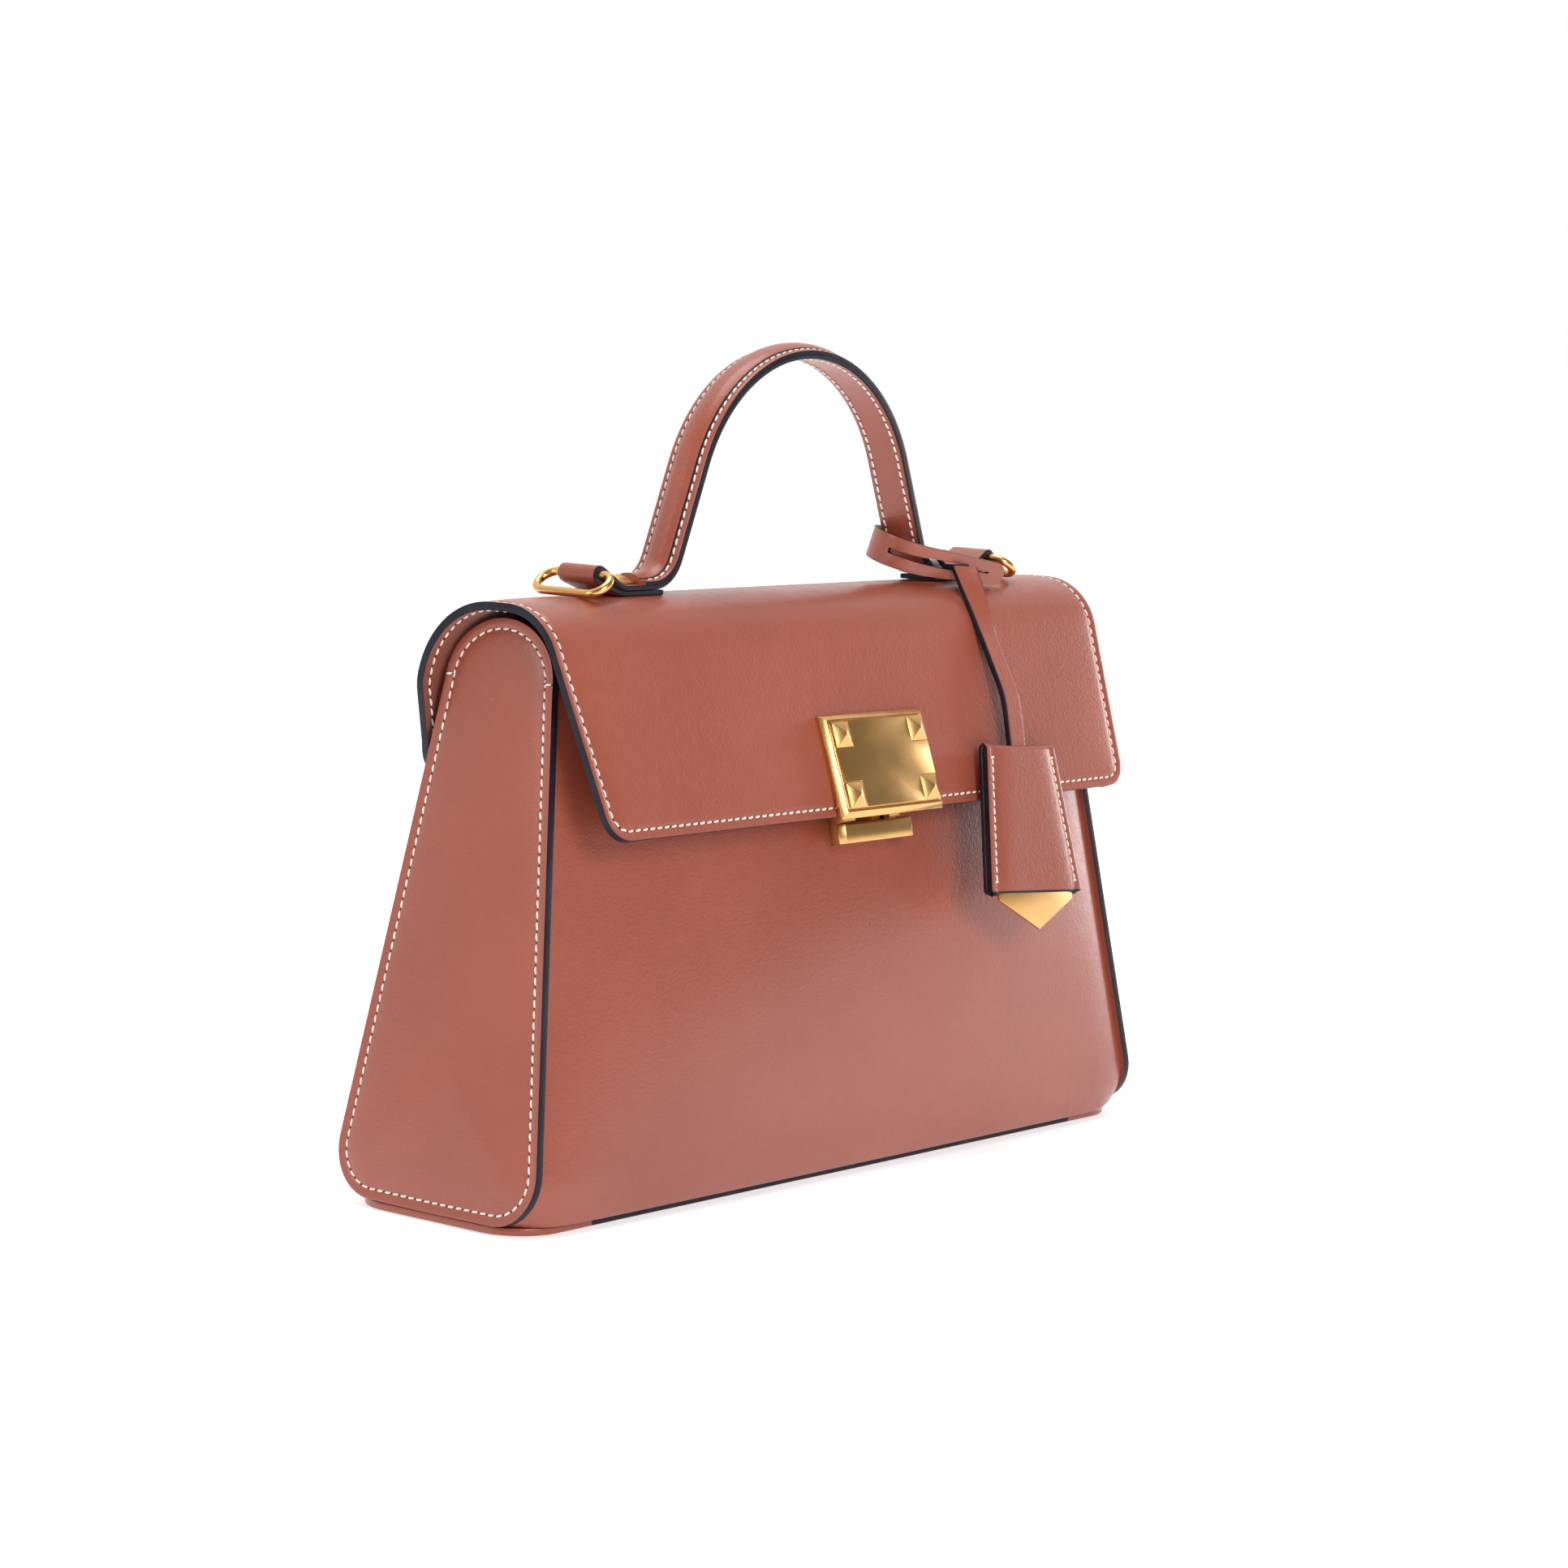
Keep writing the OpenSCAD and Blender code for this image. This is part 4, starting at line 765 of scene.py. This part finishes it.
def loft(name, path, side, up, section, mats, paint_sides=True, closed=False, steep=0.2):
    """Carries section, points (across, up), along path; side and up: one vector, or one for each point."""
    side, up = (np.broadcast_to(v, path.shape)[:, None] for v in (side, up))
    grid = path[:, None] + section[:, :1] * side + section[:, 1:] * up
    if closed:
        grid = np.concatenate([grid, grid[:1]])
    rows, m = grid.shape[:2]

    def place(a, b):
        return grid[index(b, rows - 1), index(a, m) % m]

    def which(a, _):
        j = np.clip((a * m).astype(int), 0, m - 1)
        across, rise = np.abs(section[(j + 1) % m] - section[j]).T
        return (rise > steep * across) * int(paint_sides)
    obj = lay(name, m, rows - 1, place, mats, which)
    weld(obj)
    if not closed:
        edit(obj, (bpy.ops.mesh.select_all, dict(action="DESELECT")),
             (bpy.ops.mesh.select_mode, dict(type="EDGE")),
             (bpy.ops.mesh.select_non_manifold, {}), (bpy.ops.mesh.fill_holes, dict(sides=0)))
        for p in obj.data.polygons:
            if len(p.vertices) > 4 and paint_sides:
                p.material_index = 1
    edit(obj, (bpy.ops.mesh.normals_make_consistent, dict(inside=False)))
    return obj

# %% [markdown]
# The handle is two strips sewn together round a filler. The upper strip has a raised middle, the
# lower one is flat; both turn outwards at the feet. The lower strip then runs on, wraps round the
# bar of the side ring and comes back under the foot, where the stud holds everything together.

# %% Handle
HANDLE_Y, HANDLE_W, HANDLE_TOP, ARCH_R, LEG, FOOT_R = -3.4, 14.4, 253.0, 53.8, 21.3, 10.0
COVER_T, STRAP_T, RETURN_T, BAR_X, BAR_UP, ROW_Y = 1.3, 1.6, 1.6, 95.5, 6.8, 5.2
foot_z = FLAP_TOP + RETURN_T + STRAP_T + COVER_T
turn_z = foot_z + FOOT_R
leg = math.radians(LEG)
turn_x = (ARCH_R + FOOT_R - (turn_z - HANDLE_TOP + ARCH_R) * math.sin(leg)) / math.cos(leg)

def half_arch(o):
    return np.concatenate([arc(0, HANDLE_TOP - ARCH_R, ARCH_R - o, 90, LEG, 60)[:-1],
                           arc(turn_x, turn_z, FOOT_R + o, 180 + LEG, 270, 24)])

def whole(half):
    return np.concatenate([half[::-1] * [-1, 1], half[1:]])

def in_space(path, y):
    return cols(path[:, 0], y, path[:, 1])

def handle_loft(name, path, section, *looks, **more):
    up = in_space(outward(path), 0)
    return loft(name, in_space(path, HANDLE_Y), (0, -1, 0), up, section, *looks, **more)

def handle_row(path, offset, y, face):
    out = outward(path)
    return in_space(path + out * offset, HANDLE_Y + y), in_space(out * face, 0)

cover_path = smooth(whole(np.concatenate([half_arch(0), [[75, foot_z]]])), 170, 2)
x = np.linspace(-HANDLE_W / 2, HANDLE_W / 2, 31)
padded = np.interp(np.abs(x), [0, 2, 3.6, 4.6, ROW_Y - 0.1, 5.7, 6.9, HANDLE_W / 2],
                   [1.9, 1.7, 1.1, 0.34, -0.15, 0, -0.02, -0.3])
cover_cut = np.concatenate([cols(x[::-1], padded), [[x[0], -COVER_T], [x[-1], -COVER_T]]])
cover = handle_loft("handle_cover_leather", cover_path, cover_cut, TAN, steep=0.8)
for p in cover.data.polygons:
    if len(p.vertices) > 4:
        p.material_index = 0
done(cover, "flap", "tan_leather", "handle_cover", angle=60)
core = handle_loft("handle_filler", smooth(whole(half_arch(0.6)), 120, 2), strip_section(9, 1.0, 0.3),
                   [board, board], False)
done(core, "flap", "filler_board", "handle_core")

# %% [markdown]
# The lower strip's line has a straight part on the foot, a loop round the bar of the ring and a
# straight part back. The loop starts and ends where those straight lines touch its circle.

# %% Handle strap and stitches
BORE_R, RISE_X = 1.38, 87.2
bar, mid_r = np.array([BAR_X, FLAP_TOP + BAR_UP]), BORE_R + STRAP_T / 2
top_mid, low_mid = foot_z - COVER_T - STRAP_T / 2, FLAP_TOP + RETURN_T / 2

def touch(z, way):
    """Angle of the line from (RISE_X, z) that touches the loop above (1) or below (-1) the bar."""
    dx, dz = bar[0] - RISE_X, bar[1] - z
    return math.degrees(math.atan2(dz, dx) + way * math.asin(mid_r / math.hypot(dx, dz)))

strap_half = np.concatenate([half_arch(COVER_T + STRAP_T / 2), [[RISE_X - 3, top_mid]],
                             arc(*bar, mid_r, 90 + touch(top_mid, 1), touch(low_mid, -1) - 90, 26),
                             [[RISE_X - 2, low_mid], [67, low_mid]]])
strap = handle_loft("handle_strap_leather", smooth(whole(strap_half), 420, 3),
                    strip_section(HANDLE_W, STRAP_T - 0.04, 0.35), TAN)
done(strap, "flap", "tan_leather", "handle_strap", angle=50)

arch_inside = smooth(whole(half_arch(COVER_T + STRAP_T)), 150, 1)
arch_inside = arch_inside[(np.abs(arch_inside[:, 0]) < 64) & (arch_inside[:, 1] > foot_z + 4)]
rows = []
for y in (-ROW_Y, ROW_Y):
    rows += [handle_row(cover_path[2:-2], -0.05, y, 1), handle_row(arch_inside, 0, y, -1)]
for x in (-73.6, 73.6):
    rows.append((cols(x, np.linspace(-ROW_Y, ROW_Y, 5) + HANDLE_Y, foot_z - 0.05), UP))
seam("handle_seam", "flap", rows, pitch=2.9)

# %% [markdown]
# The side rings are long oval links. A circle of 2.6 mm is carried round a closed path, and each
# ring rests on the flap as the frame has it, turned a little about the bar.

# %% Side rings
RING_L, RING_PITCH, WIRE = 29, 9, 2.6
straight, half = RING_L - WIRE - RING_PITCH, RING_PITCH / 2
ends = np.concatenate([arc(half, straight / 2, half, 0, 180, 24),
                       arc(half, -straight / 2, half, 180, 360, 24)])
ring = smooth(np.concatenate([ends, ends[:1]]), 97)[:-1]
way = np.roll(ring, -1, 0) - np.roll(ring, 1, 0)
drop = math.asin((BAR_UP - WIRE / 2 - 0.3) / RING_PITCH)

def tip(sign, p):
    return cols(sign * p[:, 0] * math.cos(drop), p[:, 1], -p[:, 0] * math.sin(drop))

for sign, name in SIDES:
    centre, side = tip(sign, ring) + [sign * BAR_X, HANDLE_Y, FLAP_TOP + BAR_UP], tip(sign, left(way))
    obj = loft(f"{name}_side_ring", centre, side, np.cross(side, tip(sign, normed(way))),
               arc(0, 0, WIRE / 2, 0, 337.5, 16), [brass], False, True)
    done(obj, f"{name}_ring", "gold_metal", f"{name}_ring", angle=60)

# %% [markdown]
# A split strap is knotted round the right leg of the handle: it is one band with a slit, and the
# key bell's own strap hooks through that slit. The band turns round the leg, leans back a little
# and falls towards its round tip, so it is laid flat first, and then tipped as a whole.

# %% Hitch loop
LOOP_LEFT, LOOP_TIP, LOOP_H, TIP_H, CHARM_W, CHARM_T, CHARM_X = 48.2, 91, 10.2, 7.2, 8.4, 1.9, 70
LEG_GAP, TIP_OUT, PITCH, FALL = 3.3, 4.6, math.radians(15), math.radians(6)
bend_r = (HANDLE_W + 2 * LEG_GAP + CHARM_T) / 2
bend_x, band_y, back_y, slit_z = LOOP_LEFT + bend_r, HANDLE_Y - bend_r, HANDLE_Y + bend_r, FLAP_TOP + 5
slope = math.atan(TIP_OUT / (LOOP_TIP - bend_x))
slit_y = band_y - (CHARM_X - bend_x) * math.tan(slope)
loop_path = smooth(np.concatenate([
    [[LOOP_TIP, band_y - TIP_OUT]], arc(bend_x, HANDLE_Y, bend_r, 270 - math.degrees(slope), 90, 60),
    [[CHARM_X + CHARM_W / 2, back_y]]]), 150, 2)
tip_mid = LOOP_TIP - TIP_H / 2

def half_height(x):
    h = TIP_H / 2 + (tip_mid - x) * (LOOP_H - TIP_H) / 2 / (LOOP_TIP - LOOP_LEFT)
    return np.where(x > tip_mid, np.sqrt(np.clip((TIP_H / 2) ** 2 - (x - tip_mid) ** 2, 0.01, None)), h)

def turned(p, q, a):
    return p * math.cos(a) - q * math.sin(a), p * math.sin(a) + q * math.cos(a)

def tipped(x, y, z):
    y, z = turned(y - slit_y, z, PITCH)
    z, x = turned(z, x - CHARM_X, FALL)
    return cols(x + CHARM_X, y + slit_y, z + slit_z)

LEVELS = np.array([-1, -0.86, -0.62, -0.38, 0.0, 0.38, 0.62, 0.86, 1])
tips = LOOP_TIP - 3.6 * (1 - np.cos(np.linspace(0, np.pi / 2, 9)))
front_run = loop_path[:np.argmin(loop_path[:, 0])]
loop_dense = np.concatenate([cols(tips, np.interp(tips, front_run[::-1, 0], front_run[::-1, 1])),
                             loop_path[np.argmax(loop_path[:, 0] < tips[-1] - 0.4):]])

def loop_place(a, b):
    j, (x, y) = index(a, 8), loop_dense[index(b, len(loop_dense) - 1)].T
    h = half_height(x)
    open_by = np.interp(x, [50, 60, 72, 80], [0.9, 1.35, 1.2, 0.3])
    z = np.where((j == 3) | (j == 5), np.sign(j - 4) * np.minimum(open_by, 0.38 * h), LEVELS[j] * h)
    return tipped(x, y, z)

def in_slit(face):
    """Whether a face lies in the slit: in the two middle columns, on the front of the band."""
    b, a = divmod(face.index, 8)
    x, y = (loop_dense[b] + loop_dense[b + 1]) / 2
    return a in (3, 4) and x < LOOP_TIP - TIP_H and y < HANDLE_Y - 1.5

loop = lay("hitch_band", 8, len(loop_dense) - 1, loop_place, TAN)
pick(loop, in_slit)
bpy.ops.mesh.delete(type="FACE")
bpy.ops.object.mode_set(mode="OBJECT")
face_towards(loop, lambda p: Vector((p.x - bend_x / 1000, p.y - HANDLE_Y / 1000, 0)))
apply(loop, "SOLIDIFY", thickness=CHARM_T / 1000 - 0.0001, offset=0, use_even_offset=True,
      material_offset_rim=1)
bevel(loop, 0.3)
done(loop, "flap", "tan_leather", angle=50)
climb = 4.0
tongue = smooth(np.array([[slit_y + (back_y - slit_y) * math.cos(PITCH), slit_z + climb],
                          [slit_y + CHARM_T + climb, slit_z + climb], [slit_y + CHARM_T, slit_z],
                          [slit_y - CHARM_T, slit_z]]), 40, 3)
tongue_loft = loft("hitch_tongue", cols(CHARM_X, *tongue.T), (1, 0, 0), cols(0, *outward(tongue).T),
                   strip_section(CHARM_W, CHARM_T - 0.1, 0.4), TAN)
done(tongue_loft, "flap", "tan_leather", angle=50)
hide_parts("hitch_loop")

# %% [markdown]
# The key bell hangs from a plain narrow strap. It starts in the slit, lies over the shoulder of
# the flap and then hangs free a few millimetres in front of the slope, as the photograph shows
# by the dark line beside it.

# %% Strap of the key bell
BELL_TOP_W, BELL_FOOT_W, BELL_L, BELL_T, LEAF_T, MARGIN = 36, 48.5, 48, 4.8, 1.1, 3.2
BELL_LEAN, BELL_Z, BELL_RISE, TILT, GAP = math.radians(14), 130.5, 14, math.radians(4), 0.3
turn_y = slit_y - CHARM_T - GAP - CHARM_T / 2
seat_y = PROFILE[0, 0] - GAP - BELL_T / 2 / math.cos(BELL_LEAN)

def hang_y(z):
    return seat_y + (z - FLAP_FRONT_Z) * math.tan(BELL_LEAN)

brow_r = FRONT_R + GAP + CHARM_T / 2
to_c = np.array([turn_y, slit_z]) - FRONT_C
brow_a = math.degrees(math.atan2(to_c[1], to_c[0]) + math.acos(brow_r / np.linalg.norm(to_c)))
strap_line = np.concatenate([[[turn_y, slit_z]], arc(*FRONT_C, brow_r, brow_a, 180 - FRONT_LEAN, 30),
                             [[hang_y(z), z] for z in (BELL_Z + BELL_RISE + GAP, BELL_Z + 1, BELL_Z - 8)]])
strap_line = smooth(smooth(strap_line, 40, 4), 110, 8) - [turn_y, slit_z]

def charm_space(pts):
    """Points hung from the slit, with the whole charm tilted four degrees."""
    x, y, z = pts[..., 0], pts[..., 1], pts[..., 2]
    return cols(CHARM_X + x * math.cos(TILT) + z * math.sin(TILT), turn_y + y,
                slit_z - x * math.sin(TILT) + z * math.cos(TILT))

def charm_way(v):
    return charm_space(v) - charm_space(v * 0)

hung = cols(0, *strap_line.T)
twist = np.radians(38 * np.clip(1 - run(strap_line) / 26, 0, 1) ** 1.4)
strap_side = cols(np.cos(twist), -np.sin(twist), 0)
strap_up = np.cross(strap_side, np.gradient(hung, axis=0))
strap_up *= np.where(strap_up[:, 1:2] > 0, -1, 1) / np.linalg.norm(strap_up, axis=1)[:, None]
charm_strap = loft("bell_strap", charm_space(hung), charm_way(strap_side), charm_way(strap_up),
                   strip_section(CHARM_W, CHARM_T - 0.06, 0.4), TAN)
done(charm_strap, "charm", "tan_leather", "charm_strap", angle=50)

# %% [markdown]
# The bell is one leaf folded over the strap and sewn down both sides over a welt, which leaves
# its foot open for the key blade. The fold is soft: it is round in section and dips in the middle.
# The sides are pinched by their stitches, so their painted edges show as two thin beads.

# %% Bell
SKIVE_T, KEY_T, BELL_CORNER, BELL_SEAM = 0.8, 1.2, 1.5, 2.7
STACK_MID = CHARM_T / 2 - (SKIVE_T + KEY_T) / 2

def bell_space(x, y, z):
    y2 = y * math.cos(BELL_LEAN) + z * math.sin(BELL_LEAN)
    z2 = z * math.cos(BELL_LEAN) - y * math.sin(BELL_LEAN)
    return charm_space(cols(x, y2 + hang_y(BELL_Z) - turn_y, z2 + BELL_Z - slit_z))

fold_r = BELL_T / 2
leaf_z = np.concatenate([np.array([0, 0.2, 0.7, 1.4]) - BELL_L, np.linspace(2.4 - BELL_L, -fold_r, 36)])
leaf_line = np.concatenate([cols(-fold_r, leaf_z), arc(0, -fold_r, fold_r, 180, 0, 14)[1:-1],
                            cols(fold_r, leaf_z[::-1])])
rim = np.array([1, 0.975, 0.94, 0.9, 0.86, 0.8])
bell_cols = np.concatenate([-rim, np.linspace(-0.7, 0.7, 15), rim[::-1]])

def bell_half(z):
    return BELL_TOP_W / 2 + (BELL_FOOT_W - BELL_TOP_W) / 2 * np.clip(-z, 0, None) / BELL_L

def bell_at(u, i):
    """Points of the folded leaf: u from -1 to 1 across it, row i of its outline."""
    y, z = leaf_line[i].T
    low = np.clip(BELL_CORNER - (z + BELL_L), 0, BELL_CORNER)
    half = bell_half(z) - BELL_CORNER + np.sqrt(BELL_CORNER ** 2 - low ** 2)
    x = u * half
    dip = 0.9 * (1 - u ** 2) * np.clip(1 + z / 5, 0, 1)
    press = np.interp(half - np.abs(x), [0, 1.4, BELL_SEAM, 4, 7, 11], [0.72, 0.58, 0.85, 0.48, 0.14, 0])
    foot = np.interp(-z, [BELL_L - 6, BELL_L], [0, 0.25])
    y = y - np.sign(y) * np.minimum(press + foot * (np.abs(u) < 0.9), np.abs(y))
    return bell_space(x, y + STACK_MID, z - dip)

def bell_place(a, b):
    return bell_at(bell_cols[index(a, len(bell_cols) - 1)], index(b, len(leaf_line) - 1))

bell = lay("bell_leaf", len(bell_cols) - 1, len(leaf_line) - 1, bell_place, TAN)
middle = Vector(bell_space(0, STACK_MID, -BELL_L / 2) / 1000)

def outwards(p):
    """Out of the folded leaf: forwards on its front half, back on its other half."""
    p = p - middle
    return Vector((p.x * 0.1, p.y + 0.25 * p.z, 0))

thicken(bell, outwards, LEAF_T, 0.25)
down = Vector(charm_way(np.array([0, -math.sin(BELL_LEAN), -math.cos(BELL_LEAN)])))
for p in bell.data.polygons:
    if (p.center - middle).dot(down) > (BELL_L / 2 - 0.65) / 1000:
        p.material_index = 1
done(bell, "bell", "tan_leather", "bell", angle=50)

z, facing = np.linspace(-2.6, -BELL_L + 0.6, 40), bell_space(0, 1, 0) - bell_space(0, 0, 0)
for sign, name in SIDES:
    x = sign * (bell_half(z) - MARGIN / 2 - 0.22)
    welt = loft(f"bell_welt_{name}", bell_space(x, STACK_MID, z), charm_way(np.array([1, 0, 0])), facing,
                strip_section(MARGIN, BELL_T - 2 * LEAF_T - 1.2, 0.35), TAN)
    done(welt, "bell", "tan_leather", angle=50)

rows, front, tack = [], np.arange(5, 38), charm_way(np.array([[-1.9, 0, 0], [1.9, 0, 0]])) * 0.75
for sign in (-1, 1):
    for face, keep in ((-1, front), (1, len(leaf_line) - 1 - front)):
        pts = bell_at(sign * (1 - BELL_SEAM / bell_half(leaf_line[keep, 1])), keep)
        rows += [(path, facing * face) for path in (pts, pts[0] + tack, pts[-1] + tack)]
seam("bell_seam", "bell", rows, pitch=2.7)

# %% [markdown]
# The set is a plain pale floor with soft light. The floor glows a little by itself, so it stays
# nearly white up to the faint shadow at the base, without lamps that would bleach the leather.
# The world is bright behind the bag and dim in front of it, because brass shows what it mirrors
# and needs both, but the camera itself sees plain white beyond the floor. The window is the main
# light, from the front left. Two fills lift the gusset and the right edge, and a wide sheet from
# above gives the handle and the top of the flap their sheen.

# %% Floor and light
clear()
bpy.ops.mesh.primitive_plane_add(size=40, location=(0, 0, -0.0002))
floor = bpy.context.object
floor.name = "floor"
floor.data.materials.append(finish("pale_floor", (0.84, 0.83, 0.88), 0.7, Emission_Strength=0.55,
                                   Emission_Color=(1, 1, 1, 1)))
bpy.ops.object.transform_apply(location=True)
world = bpy.data.worlds.new("studio")
world.use_nodes = True
sky = world.node_tree.nodes["Background"]
sky.inputs["Color"].default_value = (1, 1, 1, 1)
way, seen = node(world, "ShaderNodeTexCoord"), node(world, "ShaderNodeLightPath")
facing = node(world, "ShaderNodeVectorMath", operation="DOT_PRODUCT")
facing.inputs[1].default_value = (0.45, 0.85, 0.28)
level = node(world, "ShaderNodeMapRange", From_Min=0.0, From_Max=0.72, To_Min=0.25, To_Max=1.08)
strength = node(world, "ShaderNodeMix", B=1)
join(world, way, "Generated", facing, 0)
join(world, facing, "Value", level, "Value")
join(world, seen, "Is Camera Ray", strength, "Factor")
join(world, level, "Result", strength, "A")
join(world, strength, "Result", sky, "Strength")
bpy.context.scene.world = world
bpy.context.scene.view_settings.view_transform = "Standard"

def lamp(name, spot, aim, size, watts):
    data = bpy.data.lights.new(name, "AREA")
    data.shape, data.size, data.size_y, data.energy = "RECTANGLE", size, size, watts
    obj = add(name, data)
    obj.location = spot
    obj.rotation_euler = (Vector(aim) - Vector(spot)).to_track_quat("-Z", "Y").to_euler()

lamp("window", (-0.7, -1.8, 0.9), (0, 0, 0.1), 0.8, 20)
lamp("left_fill", (-1.9, 0.6, 0.9), (0, 0, 0.1), 0.7, 8)
lamp("right_fill", (2.0, -0.32, 0.34), (0.1, 0, 0.1), 0.6, 7.5)
lamp("top_sheet", (0.1, 0.1, 1.9), (0, 0, 0.1), 1.2, 19)
print("lights:", len(bpy.data.lights))
